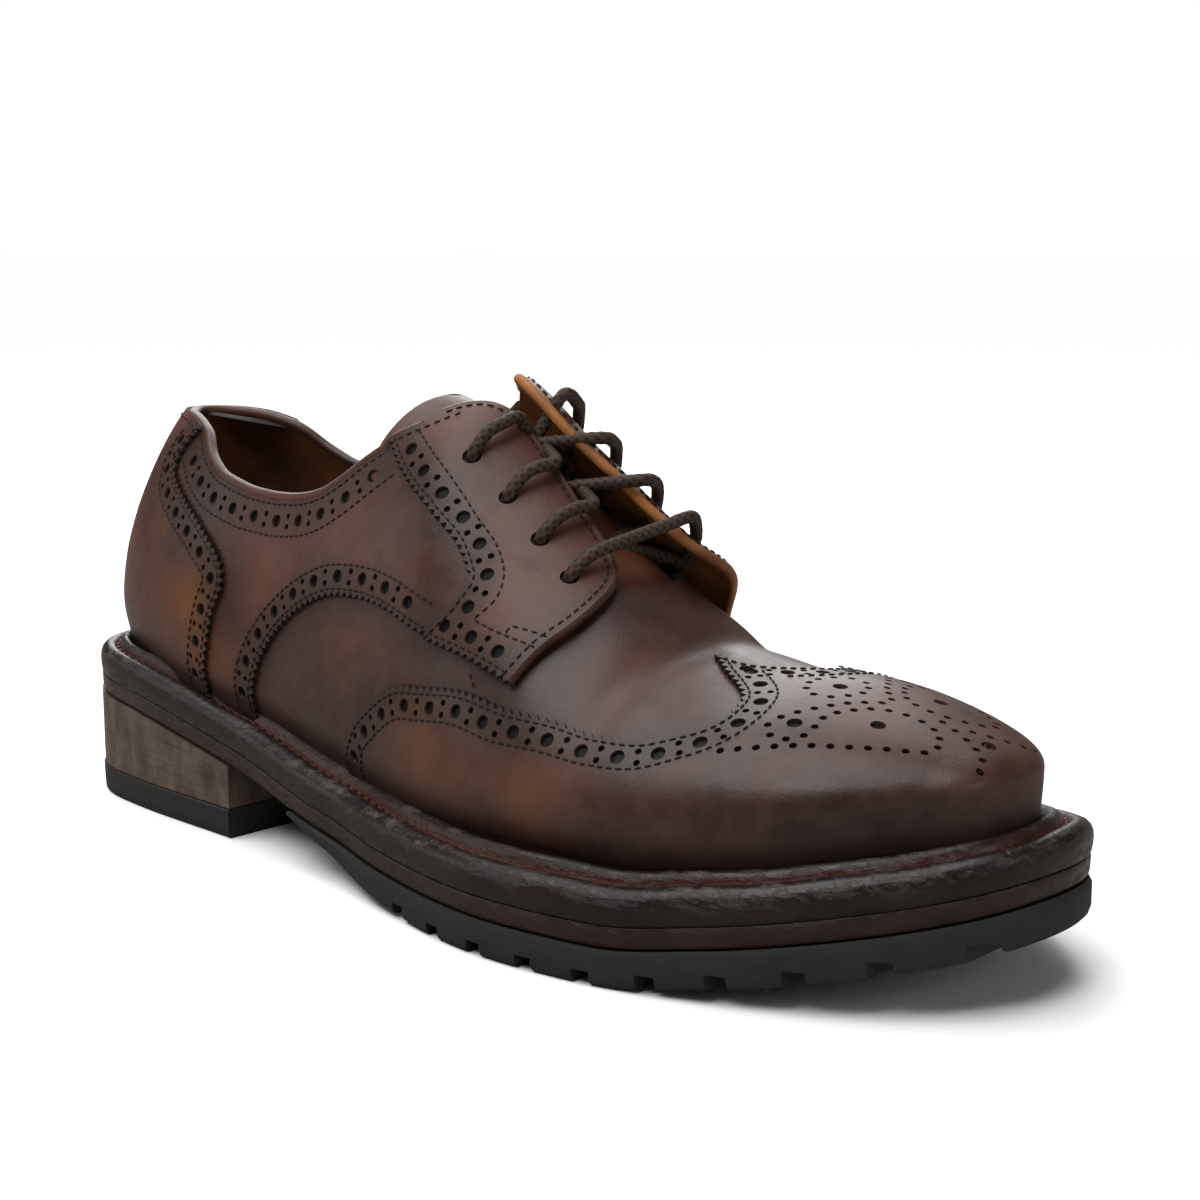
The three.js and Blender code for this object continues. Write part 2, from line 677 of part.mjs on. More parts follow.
function facing(side) {
  const gape = side > 0 ? FLAP_GAPE : 0;
  const points = [...facingRear, ...flapTip, flapTop, [facingRear[0][0], ABOVE]];
  const edge = side > 0 ? THROAT_CENTRE * 2 + FLAP_EDGE : -FLAP_EDGE;
  const region = sidePrism(points, side > 0 ? edge : -SIDE, side > 0 ? SIDE : edge);
  const body = sheet(QUARTER_STEP + GAP, OVERLAY, region, gape);
  return withEyelets(body.subtract(collarCutter(gape)), [side]);
}

function insole() {
  const thick = slab([
    { inset: 0, z: (x) => seat(x) + GAP },
    { inset: 0, z: (x) => seat(x) + GAP + INSOLE_THICKNESS },
  ]);
  return thick.intersect(lastBody(-WALL - GAP, { base: -MIDSOLE_THICKNESS }));
}

function tongue() {
  const top = TONGUE_TOP * LENGTH;
  const root = TONGUE_ROOT * LENGTH;
  const half = TONGUE_HALF_WIDTH;
  const near = top + TONGUE_ROUND / 5;
  const back = top + TONGUE_ROUND;
  const outlineTop = smooth([[back, THROAT_CENTRE + half], [near, THROAT_CENTRE + 0.7 * half],
    [top, THROAT_CENTRE], [near, THROAT_CENTRE - 0.7 * half], [back, THROAT_CENTRE - half]], 12);
  const region = planPrism([...outlineTop, [root, THROAT_CENTRE - 0.8 * half],
    [root, THROAT_CENTRE + 0.8 * half]], THROAT_LOW, ABOVE);
  return sheet(-WALL - GAP - TONGUE_THICKNESS, TONGUE_THICKNESS, region);
}

// One lace crossing: from eyelet mouth to eyelet mouth, dipping between the flaps
function laceRow(row) {
  const near = eyeletFrame(row, -1);
  const far = eyeletFrame(row, 1);
  const out = (frame, distance) => frame.point.clone().addScaledVector(frame.normal, distance);
  const x = row.at * LENGTH + LACE_FORWARD;
  const before = x - LACE_FORWARD / 5;
  const crown = ridgeLine(x, QUARTER_STEP + GAP + OVERLAY, 0) + LACE_RADIUS;
  const farEdge = 2 * THROAT_CENTRE + 1.75 * FLAP_EDGE;
  const points = [
    out(near, -OVERLAY),
    out(near, LACE_OUT),
    new THREE.Vector3(before, -2 * FLAP_EDGE, crown + 0.83 * LACE_LIFT),
    new THREE.Vector3(x, THROAT_CENTRE, crown + LACE_LIFT),
    new THREE.Vector3(before, farEdge, crown + FLAP_GAPE + 0.5 * LACE_LIFT),
    out(far, LACE_OUT),
    out(far, -OVERLAY),
  ];
  const path = new THREE.CatmullRomCurve3(points, false, 'centripetal');
  const circle = new THREE.Shape();
  circle.absarc(0, 0, LACE_RADIUS, 0, Math.PI * 2);
  return solid(new THREE.ExtrudeGeometry(circle, {
    steps: 12,
    curveSegments: 4,
    bevelEnabled: false,
    extrudePath: path,
  }));
}

const leather = (color, roughness) => new THREE.MeshStandardMaterial({ color, roughness, metalness: 0 });
const MATERIALS = {
  calf: leather(0x5c3a30, 0.38),
  burnished: leather(0x4e342d, 0.32),
  band: leather(0x584840, 0.45),
  weltLeather: leather(0x2c2422, 0.5),
  midsoleLeather: leather(0x43322d, 0.6),
  stack: leather(0x50463f, 0.6),
  rubber: leather(0x2d2d2a, 0.75),
  lining: leather(0x8a5a30, 0.7),
  lace: leather(0x4b3a31, 0.85),
};

const shoe = new THREE.Group();

function addPiece(name, body, material) {
  const { vertProperties, triVerts } = body.getMesh();
  const geometry = new THREE.BufferGeometry();
  geometry.setAttribute('position', new THREE.Float32BufferAttribute(vertProperties, 3));
  geometry.setIndex(Array.from(triVerts));
  geometry.computeVertexNormals();
  const mesh = new THREE.Mesh(geometry, material);
  mesh.name = name;
  shoe.add(mesh);
}

addPiece('heel_top_lift', heelLift(), MATERIALS.rubber);
addPiece('heel_stack', heelStack(), MATERIALS.stack);
addPiece('half_sole', halfSole(), MATERIALS.rubber);
addPiece('midsole', midsole(), MATERIALS.midsoleLeather);
addPiece('welt', welt(), MATERIALS.weltLeather);
addPiece('insole', insole(), MATERIALS.lining);
addPiece('upper', upper(), MATERIALS.calf);
addPiece('toe_cap', toeCap(), MATERIALS.burnished);
addPiece('counter', counter(), MATERIALS.band);
addPiece('facing_outer', facing(-1), MATERIALS.calf);
addPiece('facing_inner', facing(1), MATERIALS.calf);
addPiece('tongue', tongue(), MATERIALS.calf);
EYELETS.forEach((row, i) => addPiece(`lace_row_${i + 1}`, laceRow(row), MATERIALS.lace));

// Origin on the floor, at the middle of the sole's length and width
const extent = new THREE.Box3().setFromObject(shoe);
shoe.position.set(-(extent.min.x + extent.max.x) / 2, -(extent.min.y + extent.max.y) / 2, -extent.min.z);

export default shoe;
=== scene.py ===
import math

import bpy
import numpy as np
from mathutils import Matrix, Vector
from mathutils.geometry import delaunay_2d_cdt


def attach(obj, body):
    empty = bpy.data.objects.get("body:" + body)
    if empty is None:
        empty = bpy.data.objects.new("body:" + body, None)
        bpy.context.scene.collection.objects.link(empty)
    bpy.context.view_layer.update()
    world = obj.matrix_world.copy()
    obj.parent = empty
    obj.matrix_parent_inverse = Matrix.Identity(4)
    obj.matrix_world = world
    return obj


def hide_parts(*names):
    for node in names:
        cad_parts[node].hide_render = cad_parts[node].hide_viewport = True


bl_info = {
    "name": "Brogue derby shoe",
    "version": (1, 0, 0),
    "blender": (4, 5, 0),
    "location": "3D View > Sidebar > Shoe",
    "description": "Dresses the CAD shoe in leather, stitching, welt, sole and lace",
    "category": "Mesh",
}

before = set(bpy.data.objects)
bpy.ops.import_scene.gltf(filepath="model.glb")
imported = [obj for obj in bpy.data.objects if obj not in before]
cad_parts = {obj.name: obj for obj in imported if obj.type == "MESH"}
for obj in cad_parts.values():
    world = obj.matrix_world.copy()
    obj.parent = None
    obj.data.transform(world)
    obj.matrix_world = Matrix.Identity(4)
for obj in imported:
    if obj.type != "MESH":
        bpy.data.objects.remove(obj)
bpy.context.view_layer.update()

# Sizes shared with the solids, in millimetres
LENGTH = 312.0
BALL_WIDTH = 108.0
LAST_WIDTH = 96.0
TIP_SHIFT = 5.0
RUBBER = 9.0
HEEL_SEAT = 32.0
TOE_SPRING = 16.0
MIDSOLE = 5.0
WELT = 8.5
BEAD = 3.0
LIFT = 8.2
HEEL_LENGTH = 84.0
LAST_START = 6.5
LAST_END = 300.5
TUCK_HEIGHT = 10.0
TUCK = 0.07
INSTEP = 90.0
COLLAR = 66.0
HEEL_LEAN = 20.0
LEAN_END = 0.224 * LENGTH
TOE_BOX = 0.808 * LENGTH
TOE_FULLNESS = 1.75
RIDGE_SHIFT = 5.0
LUG_START = 0.54 * LENGTH
LUG_PITCH = 15.2
LUG_COUNT = 10
GAP = 0.3
# The row's origin is on the floor under the middle of the sole
ORIGIN = np.array([-156.0, 3.2365, 0.0])
MILLIMETRE = 0.001

# Share of length, outer half width, inner half width
SOLE_OUTLINE = (
    (0.015, 0.190, 0.175), (0.05, 0.290, 0.265), (0.12, 0.338, 0.329), (0.20, 0.356, 0.347),
    (0.32, 0.384, 0.333), (0.42, 0.435, 0.329), (0.52, 0.505, 0.366), (0.62, 0.560, 0.435),
    (0.72, 0.546, 0.491), (0.82, 0.468, 0.500), (0.90, 0.361, 0.440), (0.96, 0.227, 0.315),
    (0.99, 0.106, 0.194),
)
LAST_OUTLINE = (
    (0.02, 0.165, 0.175), (0.06, 0.250, 0.255), (0.12, 0.310, 0.310), (0.20, 0.345, 0.330),
    (0.32, 0.370, 0.322), (0.42, 0.415, 0.322), (0.52, 0.475, 0.360), (0.62, 0.520, 0.420),
    (0.72, 0.520, 0.465), (0.82, 0.460, 0.475), (0.90, 0.355, 0.410), (0.96, 0.215, 0.285),
    (0.99, 0.110, 0.160),
)
# Share of length, share of the heel's rise, share of the toe spring
SOLE_PROFILE = (
    (0, 1, 0), (0.12, 0.85, 0), (0.265, 0.51, 0), (0.40, 0.18, 0), (0.50, 0.04, 0),
    (0.57, 0, 0), (0.74, 0, 0), (0.82, 0, 0.2), (0.90, 0, 0.5), (0.96, 0, 0.77), (1, 0, 1),
)
RUBBER_PROFILE = ((0.365, 0.14), (0.42, 0.45), (0.50, 0.86), (0.57, 1.0))
# Share of length, ridge height, fullness of the shoulder, shift toward the inner side
LAST_SECTIONS = (
    (0, 0.761, 1.9, 0.6), (0.128, 0.813, 1.95, 0.55), (0.224, 0.883, 2.0, 0.48),
    (0.314, 0.953, 2.0, 0.4), (0.417, 1.030, 1.93, 0.6), (0.481, 1.012, 1.84, 0.75),
    (0.545, 0.864, 1.7, 0.9), (0.609, 0.683, 1.72, 1), (0.670, 0.511, 1.75, 0.92),
    (0.702, 0.453, 1.8, 0.84), (0.731, 0.429, 1.86, 0.75), (0.770, 0.400, 1.95, 0.65),
    (0.814, 0.367, 2.05, 0.55), (0.840, 0.348, 2.1, 0.48), (0.971, 0.228, 2.2, 0.1),
)
# Share of the collar's height, share of the heel's lean
HEEL_BACK = (
    (-0.3, 0.075), (0, 0.05), (0.14, 0), (0.30, 0.06), (0.485, 0.225), (0.68, 0.475),
    (0.864, 0.75), (1, 1), (1.21, 1.4),
)
# Share of length, share of the collar's height
TOPLINE = (
    (-0.03, 0.955), (0.064, 0.980), (0.115, 0.985), (0.154, 0.964), (0.186, 0.890),
    (0.218, 0.855), (0.250, 0.853), (0.288, 0.871), (0.320, 0.905), (0.353, 0.964),
    (0.378, 1.044), (0.404, 1.155), (0.429, 1.247), (0.455, 1.309), (0.481, 1.373),
    (0.500, 1.403),
)

# Panel edges and seams on the outer side: x, y, z in millimetres
WING_EDGE = (
    (132, -41, 26), (133, -41, 33), (137, -42, 40), (144, -43, 47), (155, -44, 54),
    (167, -45, 56), (181, -45, 57), (195, -45, 55), (208, -43, 54), (220, -41, 52),
    (229, -39, 52), (236, -35, 54), (241, -31, 56), (243, -26, 58), (242, -19, 61),
    (237, -14, 62), (229, -9, 64), (223, -4, 66),
)
WING_FAR = ((223, -4, 66), (230, -3, 65), (236, 1, 64), (243, 11, 63), (244, 20, 61))
ARCH_EDGE = (
    (90, -34, 32), (90, -34, 38), (93, -36, 47), (100, -36, 57), (110, -36, 65),
    (120, -36, 70), (128, -37, 72), (142, -38, 72), (156, -41, 69), (163, -41, 67),
    (180, -42, 64), (193, -42, 60),
)
COUNTER_EDGE = (
    (70, -33, 34), (70, -33, 41), (73, -35, 53), (75, -35, 61), (78, -34, 68),
    (77, -33, 74), (72, -31, 79), (63, -29, 85), (52, -26, 91), (43, -22, 97),
    (43, -18, 102), (47, -16, 108),
)
FACING_REAR = (
    (132, -22, 110), (141, -26, 103), (155, -30, 95), (164, -31, 89), (170, -33, 83),
    (171.5, -34, 80), (170.5, -37, 77), (168.5, -38, 73), (163, -41, 67),
)
FACING_SEAM = (
    (140, -19, 113), (153, -23, 105), (165, -25, 95), (174, -27, 89), (179, -29, 83),
    (181, -32, 79), (181, -35, 76), (178, -38, 72),
)
FLAP_FRONT = (
    (193, -42, 60), (196, -36, 67), (199, -27, 72), (199.5, -18, 77), (198, -12, 81),
    (194, -9, 85), (188, -7, 90), (181, -6, 96), (174, -4.5, 102), (166, -3.5, 108),
    (160, -3.2, 113), (155, -3.6, 116), (150.5, -5.6, 118), (147, -8.6, 118.2),
    (143, -12.6, 116.4),
)
# Half of the toe ornament: x, distance from its axis
ORNAMENT_SCROLL = (
    (250, 38), (257, 34), (266, 28.5), (275, 23.5), (282, 19), (286, 14.5), (286.5, 10),
    (284, 6), (279, 3.6), (273, 3.6), (268.5, 6), (265.5, 10), (263, 15), (263.6, 20),
    (264, 24.5), (261.5, 28), (257.5, 28.2), (254.6, 25), (255.2, 20.6), (258, 15.5),
    (260.6, 11), (263.5, 6.4), (267.5, 1.8),
)
ORNAMENT_TIP = ((277, -1.5), (283, 0.2), (288, 2.6), (293, 5.6), (297, 9.2), (299, 13))
ORNAMENT_HEART = ((249.5, 1.6), (251.2, 5.2), (254.4, 7.6), (258.2, 6.8), (260.6, 3.4), (261.5, 0))
ORNAMENT_HOLES = ((256, 0.0), (259.2, 21.5), (273.5, 12.2), (293, -1.0))
# Eyelets, top to bottom: share of length, share of the section's height
EYELETS = ((0.505, 0.905), (0.543, 0.905), (0.580, 0.895), (0.613, 0.885))

# Inset and height of the rows that round the edges of the lift, the midsole and the sock
LIFT_ROWS = ((1.0, 0.0), (0.3, 0.8), (0.1, 3.0), (0.0, LIFT - 0.4), (0.4, LIFT))
MIDSOLE_ROWS = ((1.6, 0.0), (1.0, 0.5), (0.75, 1.6), (0.7, 3.4), (0.7, 4.7), (0.9, MIDSOLE))
SOCK_ROWS = ((2.4, GAP), (2.4, 2.9), (2.9, 3.3))
# Inset, height, wear and redness round the welt's section, from its base over the corner,
# the groove and the lip
WELT_ROWS = (
    (11.5, 0.1, 0, 0), (0.9, 0.15, 0, 0), (0.6, 0.8, 0, 0), (0.4, 2.2, 0.05, 0),
    (0.3, 3.8, 0.1, 0), (0.45, 5.2, 0.2, 0), (1.0, 6.6, 0.45, 0), (2.0, 7.7, 0.75, 0),
    (3.3, 8.4, 0.75, 0), (4.5, 8.6, 0.5, 0), (5.2, 8.5, 0.3, 0.1), (5.5, 7.9, 0, 0.6),
    (5.9, 7.2, 0, 1), (6.6, 7.1, 0, 1), (7.0, 7.6, 0, 0.8), (7.3, 8.9, 0.4, 0.4),
    (8.0, 10.1, 0.7, 0.1), (8.8, 10.8, 0.6, 0), (9.7, 11.0, 0.3, 0), (10.6, 10.7, 0, 0),
    (11.8, 9.4, 0, 0),
)
# Strength, times round the sole and phase
WORN_PATCHES = ((0.25, 5, 1.0), (0.2, 11, 2.0), (0.15, 23, 0.5))
# Points round each plan
COARSE_RING, TREAD_RING, WELT_RING, STITCH_RING = 240, 360, 560, 900
# Heel stack: layers, half a joint as a share of its height, and the pitch of its drawn lines
STACK_LAYERS = 4
JOINT_HALF = 0.012
LAYER_LINES = 5.6
# Lug notches run in from the edge by a length, but leave a share of the half width
NOTCH_LENGTH = 20.0
NOTCH_SHARE = 0.3
GROOVE_WIDTH = 4.4
GROOVE_FLARE = 1.0
GROOVE_DEPTH = 3.4
SOCK_SHARE = 0.93
WELT_STITCH_INSET = 6.3
WELT_STITCH_HEIGHT = 7.5
WELT_STITCH_PITCH = 3.8
WELT_THREAD = 1.5
# Leather: thickness of the lined vamp below the last, tops of the two layers over it, and a
# hair's breadth that keeps layers apart
LINED = 2.0
QUARTER_TOP = 1.25
OVERLAY_TOP = 2.6
HAIR = 0.05
# Brogue bands: lines of stitches near to and far from the edge, and of holes between them
BAND_NEAR = 2.0
BAND_MIDDLE = 5.2
BAND_FAR = 8.3
COLLAR_BAND = 10.0
COLLAR_STITCH = 2.0
COLLAR_HOLES = 6.2
# Small holes stand in pairs, this far to each side of the big ones' line
PAIR_REACH = 1.45
HOLE_DEPTH = 1.0
BIG_SIDES, SMALL_SIDES = 14, 8
# Width of a hole's floor over its rim
HOLE_TAPER = 0.86
EYELET_RADIUS = 2.2
EYELET_DEPTH = 1.05
ORNAMENT_PITCH = 3.9
# Radii of the rolled edges, and the steps and sides they are drawn with
COLLAR_ROLL = 1.75
FLAP_ROLL = 1.35
ROLL_STEP, ROLL_SIDES = 1.2, 12
# Places on the outer side where seams start and meet
COUNTER_TOP = (48, -16, 108)
FACING_TOP = (131, -21, 110)
ARCH_MEETS = (159, -41, 68)
FACING_MEETS = (163, -41, 67)
# Share of a stitch's pitch that its thread shows, and how far it stands over the leather
STITCH_SHOWS = 0.68
STITCH_RISE = 0.12
# The flaps' lift: reach behind the front edge, and where it fades toward the sides
FLAP_REACH = 15.0
FLAP_FADE = (22, 52)
OUTER_LIFT = 0.9
# Tongue leaf: heights of its two faces under the last, and rise of its free end
TONGUE_LOW, TONGUE_HIGH = -4.8, -2.4
TONGUE_RISE = 3.0
# Lace: steps and sides it is drawn with, and the pitch of its strands
LACE_STEP, LACE_SIDES = 0.42, 18
STRAND_PITCH = 2.3
# Radius of a cord's core, and what its crowns add, over its own radius
CORD_CORE, CORD_CROWN = 0.93, 0.1
# Burnish by the welt and beside edges: strength and fade; strength and fade of a band's tint
FOOT_BURNISH = (0.85, 6.0)
EDGE_BURNISH = (0.55, 1.6)
BAND_TINT = 0.62
BAND_FADE = (1.0, 1.5)



def column(table, index, unit=1.0, scale=1.0):
    """Monotone cubic through one column of a table"""
    x = np.array([row[0] for row in table], float) * unit
    y = np.array([row[index] for row in table], float) * scale
    gap, slope = np.diff(x), np.diff(y) / np.diff(x)
    tangent = np.zeros_like(x)
    for i in range(1, len(x) - 1):
        if slope[i - 1] * slope[i] > 0:
            first, second = 2 * gap[i] + gap[i - 1], gap[i] + 2 * gap[i - 1]
            tangent[i] = (first + second) / (first / slope[i - 1] + second / slope[i])
    tangent[0], tangent[-1] = slope[0], slope[-1]

    def value(at):
        t = np.clip(at, x[0], x[-1])
        i = np.clip(np.searchsorted(x, t, "right") - 1, 0, len(gap) - 1)
        h = gap[i]
        s = (t - x[i]) / h
        ends = y[i] * (1 + 2 * s) * (1 - s) ** 2 + y[i + 1] * s * s * (3 - 2 * s)
        return ends + h * (tangent[i] * s * (1 - s) ** 2 - tangent[i + 1] * s * s * (1 - s))

    return value


def outline(table, width, tip):
    """Centre line and roundness of a plan from its half widths"""
    shape = [
        (at, (outer + inner) * width / 2 / math.sqrt(at * (1 - at)), (inner - outer) * width / 2)
        for at, outer, inner in table
    ]
    centre = [(0, 0, 0), *shape, (1, 0, tip)]
    return column(centre, 2), column(shape, 1)


sole_centre, sole_round = outline(SOLE_OUTLINE, BALL_WIDTH, TIP_SHIFT)
last_centre, last_round = outline(LAST_OUTLINE, LAST_WIDTH, TIP_SHIFT)
heel_rise = column(SOLE_PROFILE, 1, LENGTH, HEEL_SEAT - RUBBER)
toe_rise = column(SOLE_PROFILE, 2, LENGTH, TOE_SPRING)
rubber_depth = column(RUBBER_PROFILE, 1, LENGTH, RUBBER)
ridge_height = column(LAST_SECTIONS, 1, LENGTH, INSTEP)
fullness = column(LAST_SECTIONS, 2, LENGTH)
ridge_shift = column(LAST_SECTIONS, 3, LENGTH, RIDGE_SHIFT)
back_lean = column(HEEL_BACK, 1, COLLAR, HEEL_LEAN)
collar_height = column(TOPLINE, 1, LENGTH, COLLAR)


def midsole_under(x):
    """Height of the midsole's underside"""
    return RUBBER + heel_rise(x) + toe_rise(x)


def tread_under(x):
    """Height of the tread"""
    return midsole_under(x) - rubber_depth(x)


def seat(x):
    """Height of the midsole's top, where welt and insole sit"""
    return midsole_under(x) + MIDSOLE


def welt_line(x):
    """Height where the upper leaves the welt's lip"""
    return seat(x) + WELT + BEAD


def widest_line(x):
    """Height where the last is widest"""
    return welt_line(x) + TUCK_HEIGHT


def topline(x):
    """Height of the collar's edge"""
    return welt_line(x) + collar_height(x)


def ridge_line(x):
    """Height of the last's ridge, rounded down at the toe"""
    share = np.clip((x - TOE_BOX) / (LAST_END - TOE_BOX), 0, 1)
    rise = welt_line(x) + ridge_height(x) - widest_line(x)
    return widest_line(x) + rise * np.sqrt(1 - share**TOE_FULLNESS)


# The last is mapped flat: first number along it, second round it from the ridge
ALONG = 147.0
ROUND = 70.0
FOOT = 0.143
TIP = math.pi * ALONG
# Distance on the map within which a place lies on the last's ends
AT_END = 0.01


def last(chart):
    """Points on the last's surface for places on its flat map"""
    share = (1 - np.cos(chart[:, 0] / ALONG)) / 2
    side, reach = np.sign(chart[:, 1]), np.abs(chart[:, 1]) / ROUND
    up = np.sin(np.pi / 2 * np.clip(1 - reach, 0, 1))
    low = 1 - (reach - 1) / FOOT
    plain = LAST_START + share * (LAST_END - LAST_START)
    x = plain
    for _ in range(4):
        above = widest_line(x) + (ridge_line(x) - widest_line(x)) * up
        z = np.where(reach <= 1, above, welt_line(x) + TUCK_HEIGHT * low)
        run = LEAN_END - LAST_START
        leaned = LEAN_END - (LEAN_END - plain) * (run - back_lean(z - welt_line(0))) / run
        x = np.where(plain < LEAN_END, leaned, plain)
    below = np.clip((widest_line(x) - z) / TUCK_HEIGHT, 0, 1)
    profile = np.sqrt(1 - up ** fullness(x)) * (1 - TUCK * below**2)
    half = np.sqrt(share * (1 - share)) * last_round(share)
    y = last_centre(share) + ridge_shift(x) * up**1.6 + side * half * profile
    return np.column_stack([x, y, z])


def tangents(chart, step=0.3):
    """Directions along and round the last, and outward, at places on the map"""
    safe = np.column_stack([np.clip(chart[:, 0], 2.0, TIP - 4.0), chart[:, 1]])
    a = (last(safe + [step, 0]) - last(safe - [step, 0])) / (2 * step)
    b = (last(safe + [0, step]) - last(safe - [0, step])) / (2 * step)
    n = np.cross(a, b)
    front = chart[:, 0] > TIP - AT_END
    n[front | (chart[:, 0] < AT_END), 1] = 0
    n[front & (np.abs(chart[:, 1]) <= ROUND)] = (1, 0, 0)
    return a, b, n / np.linalg.norm(n, axis=1)[:, None]


def nudge(chart, move):
    """Shift places on the map by distances measured on the surface"""
    a, b, _ = tangents(chart)
    aa, ab, bb = (a * a).sum(1), (a * b).sum(1), (b * b).sum(1)
    va, vb = (a * move).sum(1), (b * move).sum(1)
    det = aa * bb - ab * ab
    return chart + np.column_stack([(bb * va - ab * vb) / det, (aa * vb - ab * va) / det])


# Coarse places that a search on the map starts from, and their reach past the widest line
COARSE_ALONG, COARSE_ROUND, COARSE_REACH = 240, 160, 1.1
COARSE = np.array([
    (i / COARSE_ALONG * TIP, (2 * j / COARSE_ROUND - 1) * COARSE_REACH * ROUND)
    for i in range(1, COARSE_ALONG) for j in range(COARSE_ROUND + 1)
])
COARSE_POINTS = last(COARSE)


def locate(points):
    """Places on the map nearest to points in space"""
    points = np.array(points, float)
    chart = np.array([COARSE[np.argmin(((COARSE_POINTS - p) ** 2).sum(1))] for p in points])
    for _ in range(4):
        chart = nudge(chart, points - last(chart))
    return chart


# Vamp creases and fullness: x, y, z of the middle, size along, size round, height
SWELLS = (
    (207, -2, 74, 9, 26, 1.1), (219, -6, 66, 6, 22, -0.9), (209, -30, 66, 5, 12, 0.5),
    (216, -33, 60, 4, 12, -0.45), (224, -31, 58, 5, 14, 0.4), (207, 26, 66, 6, 14, 0.7),
    (216, 26, 62, 5, 14, -0.6), (120, -33, 62, 26, 16, 0.8), (60, -30, 60, 18, 20, 0.5),
    (165, -38, 60, 20, 8, -0.4), (101, -30, 82, 14, 9, -0.6),
)
SWELL_PLACES = locate([row[:3] for row in SWELLS])


def relief(chart):
    """Height of the folds and fullness over the last, in millimetres"""
    height = np.zeros(len(chart))
    for (_, _, _, long, wide, rise), place in zip(SWELLS, SWELL_PLACES):
        gone = ((chart - place) / [long, wide]) ** 2
        height += rise * np.exp(-gone.sum(1))
    return height


def form(chart, height=0.0):
    """Points at a height over the last"""
    _, _, normal = tangents(chart)
    return last(chart) + normal * (height + relief(chart))[:, None]


def lengths(points):
    """Length along a line up to each of its points"""
    return np.concatenate([[0], np.cumsum(np.linalg.norm(np.diff(points, axis=0), axis=1))])


SPLINE_STEPS = 12


def curve(points, step=0.8):
    """Even points on a smooth curve through a few"""
    p = np.array(points, float)
    p = np.vstack([2 * p[0] - p[1], p, 2 * p[-1] - p[-2]])
    t = np.linspace(0, 1, SPLINE_STEPS, endpoint=False)[:, None]
    parts = []
    for a, b, c, d in zip(p, p[1:], p[2:], p[3:]):
        parts.append(0.5 * (2 * b + (c - a) * t + (2 * a - 5 * b + 4 * c - d) * t**2
                            + (3 * b - a - 3 * c + d) * t**3))
    line = np.vstack([*parts, p[-2:-1]])
    return resample(line, line, step)


def resample(line, points, step):
    """Values of a line at even distances measured on its points"""
    run = lengths(points)
    at = np.linspace(0, run[-1], max(int(round(run[-1] / step)), 1) + 1)
    return np.column_stack([np.interp(at, run, line[:, k]) for k in range(line.shape[1])])


def seam(points, step=0.8):
    """Smooth path on the map through points in space"""
    rough = curve(locate(points), step)
    return resample(rough, last(rough), step)


def along(path, distances):
    """Places at distances along a path"""
    run = lengths(last(path))
    return np.column_stack([np.interp(distances, run, path[:, k]) for k in range(2)])


def across(path):
    """Unit directions to the left of a path, on the surface"""
    forward = np.gradient(last(path), axis=0)
    side = np.cross(tangents(path)[2], forward)
    return side / np.linalg.norm(side, axis=1)[:, None]


def parallel(path, distance):
    """The path moved to its left on the surface"""
    return nudge(path, across(path) * distance)


def pinked(path, pitch, depth):
    """Sawtooth edge whose teeth point away from the left of the path"""
    total = lengths(last(path))[-1]
    count = 2 * int(round(total / pitch)) + 1
    places = along(path, np.linspace(0, total, count))
    inward = np.where(np.arange(count) % 2, depth, 0.0)
    return nudge(places, across(places) * inward[:, None])


def mirror(chart):
    """Places on the other side of the ridge"""
    return np.asarray(chart) * [1, -1]


def inside(points, loop):
    """Even-odd test of points against a closed loop"""
    result = np.zeros(len(points), bool)
    x, y = points[:, 0], points[:, 1]
    for (x0, y0), (x1, y1) in zip(loop, np.roll(loop, -1, axis=0)):
        if y0 == y1:
            continue
        crosses = (y0 > y) != (y1 > y)
        result ^= crosses & (x < (x1 - x0) * (y - y0) / (y1 - y0) + x0)
    return result


def rings(holes):
    """Map points of punched holes: rim, foot and middle, with depths and edges"""
    points, depths, edges = [], [], []
    for place, radius, sides, depth in holes:
        turn = np.arange(sides) / sides * 2 * np.pi
        a, _, n = tangents(place[None])
        a = a[0] / np.linalg.norm(a[0])
        b = np.cross(n[0], a)
        rim = np.cos(turn)[:, None] * a + np.sin(turn)[:, None] * b
        centre = np.repeat(place[None], sides, axis=0)
        for scale, sink in ((1.0, 0.0), (HOLE_TAPER, depth)):
            first = len(points)
            points.extend(nudge(centre, rim * radius * scale))
            depths.extend([sink] * sides)
            edges.extend((first + k, first + (k + 1) % sides) for k in range(sides))
        points.append(place)
        depths.append(depth)
    return points, depths, edges


# Points of a cut: nearest neighbours kept on its edge, height of a row of the filling grid and
# its clearance from edges, both over its spacing, and the merging distance
EDGE_STEP = 0.02
ROW_HEIGHT = 0.87
CLEARANCE = 0.55
MERGED = 1e-5
# Triangulate what lies inside the links
INSIDE = 1


